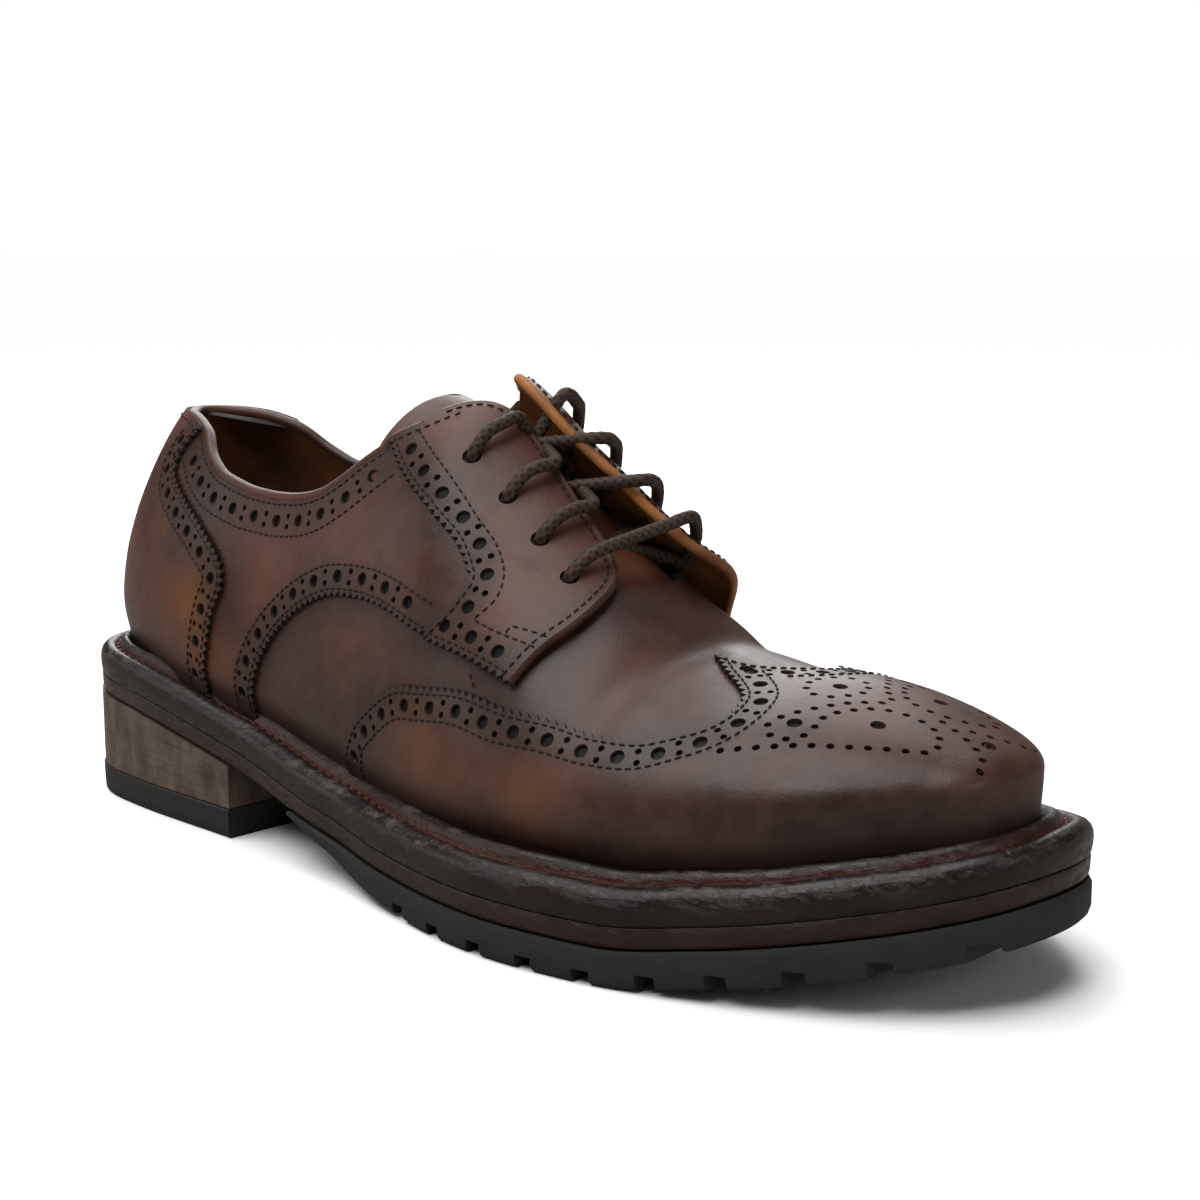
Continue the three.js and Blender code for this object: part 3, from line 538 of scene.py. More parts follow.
def flat_cut(loop, holes, spacing):
    """Triangles inside a loop on the map, with its holes sunk"""
    loop = np.array(loop)
    keep = np.linalg.norm(loop - np.roll(loop, 1, axis=0), axis=1) > EDGE_STEP
    loop = loop[keep]
    mine = [hole for hole in holes if inside(hole[0][None], loop)[0]]
    points, depths, edges = rings(mine)
    fixed = np.vstack([loop, points]) if points else loop
    low, high = loop.min(0), loop.max(0)
    grid = np.array([
        (x + (row % 2) * spacing / 2, y)
        for row, y in enumerate(np.arange(low[1], high[1], spacing * ROW_HEIGHT))
        for x in np.arange(low[0], high[0], spacing)
    ])
    grid = grid[inside(grid, loop)]
    far = np.array([((fixed - p) ** 2).sum(1).min() > (CLEARANCE * spacing) ** 2
                    for p in grid])
    grid = grid[far]
    count = len(loop)
    links = [(k, (k + 1) % count) for k in range(count)]
    links += [(a + count, b + count) for a, b in edges]
    everything = np.vstack([fixed, grid])
    sunk = np.concatenate([np.zeros(count), depths, np.zeros(len(grid))])
    places, _, triangles, origin, _, _ = delaunay_2d_cdt(
        [Vector(p) for p in everything], links, [], INSIDE, MERGED)
    places = np.array([tuple(p) for p in places])
    depth = np.array([max((sunk[i] for i in sources), default=0) for sources in origin])
    triangles = np.array(triangles)
    middle = places[triangles].mean(1)
    return places, triangles[inside(middle, loop)], depth


def border(triangles):
    """Edges that belong to one triangle, in its winding"""
    pairs = np.vstack([triangles[:, [0, 1]], triangles[:, [1, 2]], triangles[:, [2, 0]]])
    key = np.sort(pairs, axis=1)
    _, index, count = np.unique(key, axis=0, return_index=True, return_counts=True)
    return pairs[index[count == 1]]


def linear(colour):
    """Linear colour from an sRGB hex value"""
    parts = [int(colour[i:i + 2], 16) / 255 for i in (1, 3, 5)]
    return [c / 12.92 if c <= 0.04045 else ((c + 0.055) / 1.055) ** 2.4 for c in parts]


def make(name, points, faces, materials, kinds=None, tone=None, slot=None, replaced=(), sharp=50):
    """Mesh object at the origin from points in millimetres of the design"""
    mesh = bpy.data.meshes.new(name)
    mesh.from_pydata(((points + ORIGIN) * MILLIMETRE).tolist(), [], faces)
    piece = bpy.data.objects.new(name, mesh)
    bpy.context.scene.collection.objects.link(piece)
    for material in materials:
        mesh.materials.append(material)
    if kinds is not None:
        mesh.polygons.foreach_set("material_index", kinds)
    if tone is not None:
        layer = mesh.attributes.new("tone", "FLOAT_COLOR", "POINT")
        layer.data.foreach_set("color", tone.astype(np.float32).ravel())
    mesh.shade_smooth()
    mesh.set_sharp_from_angle(angle=math.radians(sharp))
    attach(piece, "root")
    if replaced:
        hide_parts(*replaced)
    return piece


def weld(points, faces, tone):
    """Join points that coincide"""
    _, first, same = np.unique(np.round(points, 3), axis=0, return_index=True, return_inverse=True)
    same = same.reshape(-1)
    joined = [[same[i] for i in face] for face in faces]
    return points[first], joined, tone[first]


# Material slots of a sheet
GRAIN, EDGE, FLESH = 0, 1, 2
# Depth at which a hole's painted shade is full, near black
FULL_HOLE_SHADE_DEPTH = 0.6

def leather_sheet(name, loops, holes, low, high, materials, shade, spacing=2.4, lift=None, **more):
    """Closed sheet of leather over the last, from loops on its map"""
    all_points, all_faces, kinds, tones = [], [], [], []
    for loop in loops:
        chart, triangles, depth = flat_cut(loop, holes, spacing)
        raised = lift(chart) if lift else 0.0
        top = form(chart, high - depth + raised)
        bottom = form(chart, low + raised)
        a, b, c = (top[triangles[:, k]] for k in range(3))
        facing = (np.cross(b - a, c - a) * tangents(chart[triangles[:, 0]])[2]).sum(1)
        triangles[facing < 0] = triangles[facing < 0][:, ::-1]
        edges = border(triangles)
        seamed = (chart[edges, 0] < AT_END).all(1) | (chart[edges, 0] > TIP - AT_END).all(1)
        edges = edges[~seamed]
        base, count = sum(map(len, all_points)), len(chart)
        walls = np.column_stack([edges[:, 1], edges[:, 0], edges[:, 0] + count, edges[:, 1] + count])
        all_faces += (triangles + base).tolist()
        all_faces += (triangles[:, ::-1] + base + count).tolist()
        all_faces += (walls + base).tolist()
        kinds += [GRAIN] * len(triangles) + [FLESH] * len(triangles) + [EDGE] * len(walls)
        all_points += [top, bottom]
        tone = shade(chart, top)
        # Painted shade: hole and eyelet floors darken toward near black with their depth
        tone[:, 2] = np.maximum(tone[:, 2], np.clip(depth / FULL_HOLE_SHADE_DEPTH, 0, 1))
        tones += [tone, tone]
    points, faces, tone = weld(np.vstack(all_points), all_faces, np.vstack(tones))
    good = [i for i, face in enumerate(faces) if len(set(face)) == len(face)]
    faces = [faces[i] for i in good]
    kinds = [kinds[i] for i in good]
    return make(name, points, faces, materials, kinds, tone, **more)


def add(tree, kind, inputs=None, **settings):
    """Add one node with its settings, and its inputs as values or as sockets to link"""
    made = tree.nodes.new(kind)
    for name, value in settings.items():
        setattr(made, name, value)
    for name, value in (inputs or {}).items():
        if isinstance(value, bpy.types.NodeSocket):
            tree.links.new(value, made.inputs[name])
        else:
            made.inputs[name].default_value = value
    return made


# Sockets of a colour mix
FACTOR, FIRST, SECOND, MIXED = 0, 6, 7, 2


def mix(tree, factor, first, second):
    """Colour between two colours or sockets"""
    values = {FACTOR: factor, FIRST: first, SECOND: second}
    return add(tree, "ShaderNodeMix", values, data_type="RGBA").outputs[MIXED]


def colour(value):
    """Opaque colour for a socket"""
    return (*value, 1.0)


def blank(name):
    """Material with only its output, and its object coordinates"""
    material = bpy.data.materials.new(name)
    material.use_nodes = True
    tree = material.node_tree
    tree.nodes.clear()
    place = add(tree, "ShaderNodeTexCoord").outputs["Object"]
    return material, tree, place


def close(tree, base, rough, height, relief_depth, strength, **constants):
    """Shader and output from its colour, roughness and height"""
    bump = add(tree, "ShaderNodeBump", {"Height": height, "Distance": relief_depth * MILLIMETRE,
                                        "Strength": strength}).outputs["Normal"]
    shader = add(tree, "ShaderNodeBsdfPrincipled", {"Base Color": base, "Roughness": rough,
                                                    "Normal": bump})
    for name, value in constants.items():
        shader.inputs[name.replace("_", " ")].default_value = value
    add(tree, "ShaderNodeOutputMaterial", {"Surface": shader.outputs["BSDF"]})


def noise(tree, place, size, detail=3.0, stretch=(1, 1, 1), rough=0.55):
    """Noise whose features are a size in millimetres, drawn out along an axis"""
    scaled = add(tree, "ShaderNodeMapping", {"Vector": place, "Scale": stretch}).outputs["Vector"]
    values = {"Vector": scaled, "Scale": 1 / (size * MILLIMETRE), "Detail": detail, "Roughness": rough}
    return add(tree, "ShaderNodeTexNoise", values).outputs["Fac"]


def ranged(tree, value, low, high, to_low=0.0, to_high=1.0):
    """A value moved from one range to another"""
    values = {"Value": value, "From Min": low, "From Max": high, "To Min": to_low, "To Max": to_high}
    return add(tree, "ShaderNodeMapRange", values).outputs["Result"]


def sums(tree, *parts):
    """Sum of sockets times weights"""
    total = 0.0
    for socket, weight in parts:
        values = {0: socket, 1: weight, 2: total}
        total = add(tree, "ShaderNodeMath", values, operation="MULTIPLY_ADD").outputs[0]
    return total


# Colours inside the materials: tan where the cream is rubbed through, burnish with painted shade
# beside overlaid edges, painted shade in holes, edge ink and where it is rubbed, the welt's groove
# and rubbed corner, and the stack's scrapes and joints, dust on rubber, and shade in cords
OCHRE_TAN = "#6b3d14"
# Burnish, and painted shade beside overlaid edges
BURNISH_AND_PAINTED_SHADE = "#1d100e"
# Painted shade at the floor of punched holes and eyelets
HOLE_SHADE_PAINTED = "#050303"
INK = "#0e0a08"
INK_RUBBED = "#2a201b"
GROOVE_RED = "#4d2014"
WELT_RUBBED = "#615851"
SCRAPED = "#6a5d53"
JOINT = "#1a1210"
DUST = "#2a2926"
CORD_SHADE = "#1d1512"


def toned(tree):
    """Sockets of the amounts painted on a piece"""
    tone = add(tree, "ShaderNodeAttribute", attribute_name="tone")
    parts = add(tree, "ShaderNodeSeparateColor", {"Color": tone.outputs["Color"]}).outputs
    return tone, parts


def calf(name, body, deep, pale, band, gloss):
    """Burnished calfskin, wiped with dark cream and polished: a deep red brown that goes from
    ruddy to nearly black in soft clouds, fine pores, and a waxy sheen with small scuffs"""
    material, tree, place = blank(name)
    tone, parts = toned(tree)
    cloud = ranged(tree, noise(tree, place, 34, 5), 0.34, 0.68)
    fleck = ranged(tree, noise(tree, place, 5, 4), 0.35, 0.75)
    base = mix(tree, cloud, colour(deep), colour(body))
    base = mix(tree, sums(tree, (fleck, 0.14)), base, colour(pale))
    base = mix(tree, parts["Green"], base, colour(band))
    base = mix(tree, tone.outputs["Alpha"], base, colour(linear(OCHRE_TAN)))
    # Burnish, with painted shade beside overlaid edges, by the red tone
    base = mix(tree, parts["Red"], base, colour(linear(BURNISH_AND_PAINTED_SHADE)))
    # Painted shade: holes darkened toward near black by the blue tone
    base = mix(tree, parts["Blue"], base, colour(linear(HOLE_SHADE_PAINTED)))
    # Pores are near 0.3 mm on calf, drawn coarser so that they show
    drawn = 0.8
    pores = add(tree, "ShaderNodeTexVoronoi", {"Vector": place, "Scale": 1 / (drawn * MILLIMETRE)})
    wrinkle = noise(tree, place, 2.2, 5, (1, 1, 1.6))
    scuff = noise(tree, place, 9, 8, (0.35, 1, 1.2), 0.75)
    rough = sums(tree, (ranged(tree, cloud, 0, 1, 0.36, 0.50), 1.0),
                 (ranged(tree, scuff, 0.55, 0.75), 0.16), (parts["Blue"], 0.4))
    height = sums(tree, (pores.outputs["Distance"], 0.35), (wrinkle, 0.7), (scuff, 0.5))
    close(tree, base, rough, height, 0.25, 0.30, IOR=1.5, Specular_IOR_Level=0.28,
          Coat_Weight=gloss, Coat_Roughness=0.28)
    return material


def cut_edge():
    """Cut edge of vegetable tanned leather, inked nearly black: matt and fibrous"""
    material, tree, place = blank("inked_leather_edge")
    fibre = noise(tree, place, 0.8, 3)
    base = mix(tree, fibre, colour(linear(INK)), colour(linear(INK_RUBBED)))
    close(tree, base, 0.75, fibre, 0.2, 0.5, IOR=1.45)
    return material


def lining_leather(name, light, dark):
    """Undyed sheepskin lining, rubbed by the foot: golden tan, matt, darker where worn; the copies
    inside the shoe are made darker than the flaps' as painted shade
    """
    material, tree, place = blank(name)
    wear = ranged(tree, noise(tree, place, 18, 4), 0.3, 0.7)
    base = mix(tree, wear, colour(dark), colour(light))
    grain = noise(tree, place, 1.1, 4)
    close(tree, base, 0.68, grain, 0.25, 0.4, IOR=1.45)
    return material


def welt_leather(name, body, red):
    """Thick oak-bark leather strip, dyed plum black, waxed, then worn grey on its rounded
    corner: satin, with nicks and lengthwise scratches"""
    material, tree, place = blank(name)
    _, parts = toned(tree)
    cloud = ranged(tree, noise(tree, place, 12, 5), 0.35, 0.7)
    nick = ranged(tree, noise(tree, place, 2.4, 6, (0.45, 0.45, 1.4), 0.7), 0.50, 0.68)
    base = mix(tree, cloud, colour(body), colour(red))
    base = mix(tree, parts["Red"], base, colour(linear(GROOVE_RED)))
    worn = add(tree, "ShaderNodeMath", {0: parts["Green"], 1: nick}, operation="MULTIPLY").outputs[0]
    base = mix(tree, worn, base, colour(linear(WELT_RUBBED)))
    height = sums(tree, (nick, -0.6), (noise(tree, place, 0.9, 4, (0.5, 0.5, 1)), 0.6),
                  (cloud, 0.6))
    rough = ranged(tree, nick, 0, 1, 0.34, 0.6)
    close(tree, base, rough, height, 0.6, 0.5, IOR=1.5, Specular_IOR_Level=0.3,
          Coat_Weight=0.1, Coat_Roughness=0.3)
    return material


def stacked_leather(name, body, pale, lines):
    """Edge of stacked sole leather, stained, burnished and scraped: brown layers a few
    millimetres thick with pale scratches across them"""
    material, tree, place = blank(name)
    height_axis = add(tree, "ShaderNodeSeparateXYZ", {"Vector": place}).outputs["Z"]
    wobble = noise(tree, place, 20, 3)
    level = sums(tree, (height_axis, 1 / (lines * MILLIMETRE)), (wobble, 0.35))
    phase = add(tree, "ShaderNodeMath", {0: level}, operation="FRACT").outputs[0]
    joint = ranged(tree, phase, 0.0, 0.09, 1.0, 0.0)
    cloud = ranged(tree, noise(tree, place, 6, 6, (1, 1, 0.5)), 0.35, 0.7)
    scratch = ranged(tree, noise(tree, place, 1.6, 6, (1.4, 1.4, 0.3), 0.7), 0.56, 0.72)
    base = mix(tree, cloud, colour(body), colour(pale))
    base = mix(tree, sums(tree, (scratch, 0.45)), base, colour(linear(SCRAPED)))
    base = mix(tree, sums(tree, (joint, 0.2)), base, colour(linear(JOINT)))
    height = sums(tree, (joint, -0.3), (scratch, -0.7), (cloud, 0.7))
    close(tree, base, ranged(tree, scratch, 0, 1, 0.45, 0.7), height, 0.5, 0.55, IOR=1.5,
          Specular_IOR_Level=0.3)
    return material


def sole_rubber(name, body):
    """Moulded vulcanised rubber: charcoal, dull, with a scuffed dusty skin"""
    material, tree, place = blank(name)
    dust = ranged(tree, noise(tree, place, 7, 5), 0.4, 0.75)
    base = mix(tree, sums(tree, (dust, 0.5)), colour(body), colour(linear(DUST)))
    grit = noise(tree, place, 0.7, 5)
    close(tree, base, ranged(tree, dust, 0, 1, 0.55, 0.8), grit, 0.2, 0.5, IOR=1.5,
          Specular_IOR_Level=0.25)
    return material


def waxed_cord(name, body, pale):
    """Waxed cotton braid: taupe brown, dull, paler on the crowns of its strands; where the tone
    follows the braid, as on the lace, the pale crowns are a painted highlight and the dark valleys
    painted shade
    """
    material, tree, place = blank(name)
    _, parts = toned(tree)
    fibre = noise(tree, place, 0.6, 3)
    # Painted highlight on the lace's crowns and painted shade in its valleys, by the red tone
    base = mix(tree, parts["Red"], colour(body), colour(pale))
    base = mix(tree, sums(tree, (fibre, 0.3)), base, colour(linear(CORD_SHADE)))
    close(tree, base, 0.62, fibre, 0.12, 0.5, IOR=1.5, Specular_IOR_Level=0.25)
    return material


def straight(rods, radius, sides):
    """Short round ended rods: arrays of centres, directions, outward and half lengths"""
    centres, forward, outward, half = rods
    side = np.cross(outward, forward)
    profile = ((-1.0, 0.0), (-0.8, 0.75), (0.0, 1.0), (0.8, 0.75), (1.0, 0.0))
    verts, faces = [], []
    for at, scale in profile[1:-1]:
        for k in range(sides):
            turn = 2 * np.pi * k / sides
            ring = side * math.cos(turn) + outward * math.sin(turn)
            verts.append(centres + forward * (half * at)[:, None] + ring * radius * scale)
    verts.append(centres - forward * half[:, None])
    verts.append(centres + forward * half[:, None])
    count = len(verts)
    points = np.stack(verts, axis=1).reshape(-1, 3)
    one = []
    for ring in range(2):
        for k in range(sides):
            a, b = ring * sides + k, ring * sides + (k + 1) % sides
            one.append((a, b, b + sides, a + sides))
    for k in range(sides):
        one.append(((k + 1) % sides, k, count - 2))
        one.append((2 * sides + k, 2 * sides + (k + 1) % sides, count - 1))
    for row in range(len(centres)):
        faces += [tuple(i + row * count for i in face) for face in one]
    return points, faces


def stitch_rods(path, height, pitch, length):
    """Stitches along a path on the map, each dipping into the leather at its ends"""
    total = lengths(last(path))[-1]
    count = max(int(total / pitch), 1)
    middle = (np.arange(count) + 0.5) * total / count
    before, after = along(path, middle - length / 2), along(path, middle + length / 2)
    a, b = form(before, height), form(after, height)
    forward = b - a
    size = np.linalg.norm(forward, axis=1)
    return (a + b) / 2, forward / size[:, None], tangents(along(path, middle))[2], size / 2


def punched(path, sizes):
    """Big holes along the middle of a band, and a pair of small ones between each two"""
    total = lengths(last(path))[-1]
    count = max(int(round(total / (sizes.hole_spacing / MILLIMETRE))), 1)
    step = total / count
    big, small = sizes.big_hole / MILLIMETRE / 2, sizes.small_hole / MILLIMETRE / 2
    holes = []
    for k in range(count):
        place = along(path, [step * (k + 0.5)])[0]
        holes.append((place, big, BIG_SIDES, HOLE_DEPTH))
    for k in range(1, count):
        place = along(path, [step * k - 0.5, step * k, step * k + 0.5])
        side = across(place)[1:2]
        for reach in (-PAIR_REACH, PAIR_REACH):
            holes.append((nudge(place[1:2], side * reach)[0], small, SMALL_SIDES, HOLE_DEPTH))
    return holes


def plan_ring(inset, count, start, end, centre, roundness):
    """A plan drawn in by a distance: x, y and angle round the loop"""
    turn = np.arange(count) * 2 * np.pi / count
    share = (1 - np.cos(turn)) / 2
    x = start + inset + share * (end - start - 2 * inset)
    y = centre(share) - np.sin(turn) / 2 * (roundness(share) - 2 * inset)
    return x, y, turn


def sole_ring(inset, count):
    """Plan of the sole, drawn in by a distance"""
    return plan_ring(inset, count, 0.0, LENGTH, sole_centre, sole_round)


def sock_ring(inset, count):
    """Plan of the sock inside the last, drawn in by a distance"""
    return plan_ring(inset, count, LAST_START, LAST_END, last_centre,
                     lambda share: last_round(share) * SOCK_SHARE)


def wrapped(rows, count, ring=False):
    """Faces over rows of points round a loop, with ends, or closed on themselves as a ring"""
    faces = []
    for i in range(rows if ring else rows - 1):
        a, b = i * count, (i + 1) % rows * count
        faces += [(a + k, a + (k + 1) % count, b + (k + 1) % count, b + k) for k in range(count)]
    if ring:
        return faces
    for base, order in ((0, -1), ((rows - 1) * count, 1)):
        for k in range(count // 2):
            far, near = (count - k) % count, count - k - 1
            face = list(dict.fromkeys([base + k, base + k + 1, base + near, base + far]))
            if len(face) > 2:
                faces.append(face[::order])
    return faces


def sweep(name, rows, materials, tone_of=None, count=480, ring=False, plan=sole_ring, **more):
    """Closed body round a plan, from rows of inset and height"""
    points, tones = [], []
    for i, (inset, height) in enumerate(rows):
        x, y, turn = plan(inset, count)
        points.append(np.column_stack([x, y, height(x, y)]))
        tones.append(tone_of(i, x, y, turn) if tone_of else np.zeros((count, 4)))
    faces = wrapped(len(rows), count, ring)
    return make(name, np.vstack(points), faces, materials, tone=np.vstack(tones), **more)


def carve(piece, cutters):
    """Take cutters away from a piece"""
    cutter = bpy.data.meshes.new("cutters")
    points, faces = [], []
    for body, sides in cutters:
        faces += [[i + len(points) for i in side] for side in sides]
        points += [tuple((np.array(p) + ORIGIN) * MILLIMETRE) for p in body]
    cutter.from_pydata(points, [], faces)
    tool = bpy.data.objects.new("cutters", cutter)
    bpy.context.scene.collection.objects.link(tool)
    cut = piece.modifiers.new("cut", "BOOLEAN")
    cut.operation, cut.solver, cut.object = "DIFFERENCE", "EXACT", tool
    ready = piece.evaluated_get(bpy.context.evaluated_depsgraph_get())
    mesh = bpy.data.meshes.new_from_object(ready)
    piece.modifiers.clear()
    piece.data = mesh
    mesh.set_sharp_from_angle(angle=math.radians(35))
    bpy.data.objects.remove(tool)


BOX_FACES = ((0, 1, 2, 3), (7, 6, 5, 4), (0, 4, 5, 1), (1, 5, 6, 2), (2, 6, 7, 3), (3, 7, 4, 0))
# How far cutters reach past the sole
FAR = 40.0


def box(x0, x1):
    """Cutter across the whole sole between two places along it"""
    ends = [[(x0, y, -FAR), (x1, y, -FAR), (x1, y, BALL_WIDTH), (x0, y, BALL_WIDTH)]
            for y in (-BALL_WIDTH, BALL_WIDTH)]
    return ends[0] + ends[1], BOX_FACES


def groove(x, low_y, high_y):
    """Trapezoid cutter across the tread"""
    deep = float(tread_under(x)) + GROOVE_DEPTH
    wide, narrow = GROOVE_WIDTH / 2 + GROOVE_FLARE, GROOVE_WIDTH / 2
    ends = [[(x - wide, y, -FAR), (x + wide, y, -FAR), (x + narrow, y, deep),
             (x - narrow, y, deep)] for y in (low_y, high_y)]
    return ends[0] + ends[1], BOX_FACES


def tube(points, radius, sides, crown):
    """Round cord along a dense line, its surface raised where crown says"""
    forward = np.gradient(points, axis=0)
    forward /= np.linalg.norm(forward, axis=1)[:, None]
    side = np.cross(forward[0], (0, 0, 1))
    side /= np.linalg.norm(side)
    run = lengths(points)
    verts, tones = [], []
    turn = np.arange(sides) / sides * 2 * np.pi
    for p, f, s in zip(points, forward, run):
        side = side - f * (side @ f)
        side /= np.linalg.norm(side)
        other = np.cross(f, side)
        rise = crown(s, turn)
        ring = np.cos(turn)[:, None] * side + np.sin(turn)[:, None] * other
        verts.append(p + ring * (radius * (CORD_CORE + CORD_CROWN * rise))[:, None])
        # The crowns' rise is kept as a tone; the lace paints it as highlight on crowns and shade in
        # valleys
        tones.append(np.column_stack([rise, np.zeros((sides, 3))]))
    faces = []
    for i in range(len(points) - 1):
        a, b = i * sides, (i + 1) * sides
        faces += [(a + k, a + (k + 1) % sides, b + (k + 1) % sides, b + k) for k in range(sides)]
    faces.append(list(range(sides))[::-1])
    faces.append([(len(points) - 1) * sides + k for k in range(sides)])
    return np.vstack(verts), faces, np.vstack(tones)


def millimetres(value, name, text):
    """Length property given in millimetres"""
    return bpy.props.FloatProperty(name=name, description=text, default=value * MILLIMETRE,
                                   min=0.0, precision=5, subtype="DISTANCE", unit="LENGTH")


def tint(value, name, text):
    """Colour property given as an sRGB hex value"""
    return bpy.props.FloatVectorProperty(name=name, description=text, default=linear(value),
                                         size=3, min=0.0, max=1.0, subtype="COLOR")


class ShoeSizes(bpy.types.PropertyGroup):
    """Sizes of the shoe's fine work"""
    stitch_pitch: millimetres(2.3, "Stitch pitch", "Distance between stitches of the upper")
    thread: millimetres(0.55, "Thread", "Thickness of the upper's thread")
    tooth_pitch: millimetres(2.5, "Tooth pitch", "Distance between teeth of a pinked edge")
    tooth_depth: millimetres(1.4, "Tooth depth", "Depth of the teeth of a pinked edge")
    hole_spacing: millimetres(9.4, "Hole spacing", "Distance between the big punched holes")
    big_hole: millimetres(3.5, "Big hole", "Diameter of the big punched holes")
    small_hole: millimetres(1.7, "Small hole", "Diameter of the small punched holes")
    lace: millimetres(3.3, "Lace", "Thickness of the lace")
    flap_lift: millimetres(7.5, "Flap lift", "How far the inner flap's front edge stands up")


class ShoeColours(bpy.types.PropertyGroup):
    """Colours of the shoe's leathers, rubber and cords"""
    quarter: tint("#562f1e", "Quarter", "Body colour of the quarters")
    quarter_deep: tint("#301a13", "Quarter, deep", "Clouds in the quarters")
    vamp: tint("#4a2b20", "Vamp", "Body colour of the vamp and toe")
    vamp_deep: tint("#2a1811", "Vamp, deep", "Clouds in the vamp and toe")
    bloom: tint("#6c574c", "Bloom", "Pale bloom on the polished leather")
    band: tint("#2b1e18", "Band", "Darker polish on the brogue bands")
    # Lining and sock: the flaps' sheepskin made darker inside the shoe, wear together with painted
    # shade
    lining: tint("#7d4c22", "Lining", "Lining of the quarters and flaps")
    lining_worn_and_shaded: tint("#3d2414", "Lining, worn", "Lining where the foot rubs")
    sock_worn_and_shaded: tint("#3b2517", "Sock, worn", "Sock where the foot rubs")
    flap: tint("#a8682e", "Flap lining", "Lining and cut edge of the flaps")
    flap_worn: tint("#6b3f1e", "Flap lining, worn", "Flap lining where fingers rub")
    welt: tint("#130d0c", "Welt", "Body colour of the welt")
    welt_red: tint("#21130f", "Welt, red", "Red brown clouds in the welt")
    midsole_red: tint("#2a1a15", "Midsole, red", "Red brown clouds in the midsole")
    stack: tint("#392b24", "Heel stack", "Body colour of the stacked heel")
    stack_pale: tint("#5a4b42", "Heel stack, pale", "Pale clouds in the stacked heel")
    rubber: tint("#21211f", "Rubber", "Half sole and top lift")
    # The lace's valley colour is painted shade, its crown colour a painted highlight
    lace: tint("#1f1511", "Lace", "Valleys of the braided lace")
    lace_crown_painted_highlight: tint("#4a372d", "Lace, crown", "Crowns of the braided lace")
    thread: tint("#1b110e", "Thread", "Stitching of the upper")
    thread_crown: tint("#33231c", "Thread, crown", "Where the upper's thread is rubbed")
    welt_thread: tint("#43190d", "Welt thread", "Stitching of the welt")
    welt_thread_crown: tint("#6b3520", "Welt thread, crown", "Where the welt's thread is rubbed")


MATERIALS = {}


def finish(key):
    """One of the shoe's finishes, made when first asked for"""
    if key in MATERIALS:
        return MATERIALS[key]
    c = bpy.context.scene.shoe_colours
    makers = {
        "quarter": lambda: calf("burnished_calf_quarter", c.quarter, c.quarter_deep, c.bloom,
                                c.band, 0.06),
        "vamp": lambda: calf("burnished_calf_vamp", c.vamp, c.vamp_deep, c.bloom, c.band,
                             0.10),
        "edge": cut_edge,
        # The lining and sock copies inside the shoe are darker as painted shade
        "lining": lambda: lining_leather("sheepskin_lining", c.lining, c.lining_worn_and_shaded),
        "flap_lining": lambda: lining_leather("sheepskin_flap", c.flap, c.flap_worn),
        "sock": lambda: lining_leather("sheepskin_sock", c.lining_worn_and_shaded, c.sock_worn_and_shaded),
        "welt": lambda: welt_leather("waxed_welt_leather", c.welt, c.welt_red),
        "midsole": lambda: welt_leather("burnished_midsole_leather", c.welt_red, c.midsole_red),
        "stack": lambda: stacked_leather("stacked_heel_leather", c.stack, c.stack_pale,
                                          LAYER_LINES),
        "rubber": lambda: sole_rubber("moulded_rubber", c.rubber),
        "lace": lambda: waxed_cord("waxed_cotton_lace", c.lace, c.lace_crown_painted_highlight),
        "thread": lambda: waxed_cord("waxed_linen_thread", c.thread, c.thread_crown),
        "welt_thread": lambda: waxed_cord("waxed_welt_thread", c.welt_thread,
                                          c.welt_thread_crown),
    }
    MATERIALS[key] = makers[key]()
    return MATERIALS[key]


# Where the topline's curve starts and ends, in front of the heel's seam
TOPLINE_ENDS = (10.0, 10.0 + 0.463 * LENGTH)


def add_paths():
    """Every edge and seam of the upper on the outer side, as paths on the map"""
    paths = {
        "wing": seam(WING_EDGE),
        "wing_far": seam(WING_FAR),
        "arch": seam(ARCH_EDGE),
        "counter": seam(COUNTER_EDGE),
        "rear": seam(FACING_REAR),
        "facing_seam": seam(FACING_SEAM),
        "front": seam(FLAP_FRONT),
    }
    guess = []
    for at in np.linspace(*TOPLINE_ENDS, 90):
        z = topline(at)
        up = np.clip((z - widest_line(at)) / (ridge_line(at) - widest_line(at)), 0, 0.999)
        plain = at
        if at < LEAN_END:
            run = LEAN_END - LAST_START
            plain = LEAN_END - (LEAN_END - at) * run / (run - back_lean(z - welt_line(0)))
        share = np.clip((plain - LAST_START) / (LAST_END - LAST_START), 0, 1)
        guess.append((math.acos(1 - 2 * share) * ALONG,
                      -(1 - math.asin(up) * 2 / math.pi) * ROUND))
    guess = np.array(guess)
    guess = guess[guess[:, 0] > 0.5]
    start = [(0.0, guess[0, 1] + (guess[0, 1] - guess[1, 1]) * 0.4)]
    line = np.vstack([start, guess])
    paths["top"] = resample(line, last(line), 1.0)
    return paths


PATHS = {}


def path(name):
    """One of the upper's edges or seams"""
    if not PATHS:
        PATHS.update(add_paths())
    return PATHS[name]


# Row where the leather goes under the welt's bead
FOOT_ROW = -(1 + 1.35 * FOOT) * ROUND


def foot_line(start, end, step=2.0):
    """Row under the welt's bead, on the outer side"""
    count = max(int(abs(end - start) / step), 2)
    return np.column_stack([np.linspace(start, end, count), np.full(count, FOOT_ROW)])


def heel_line(top):
    """Heel back seam from the foot up to the topline"""
    rise = np.linspace(FOOT_ROW, top, 40)
    return np.column_stack([np.zeros(40), rise])


def distance_to(chart, line, step=3):
    """Distance on the surface from places to a path"""
    here, there = last(chart), last(line)[::step]
    return np.sqrt(np.array([((there - p) ** 2).sum(1).min() for p in here]))


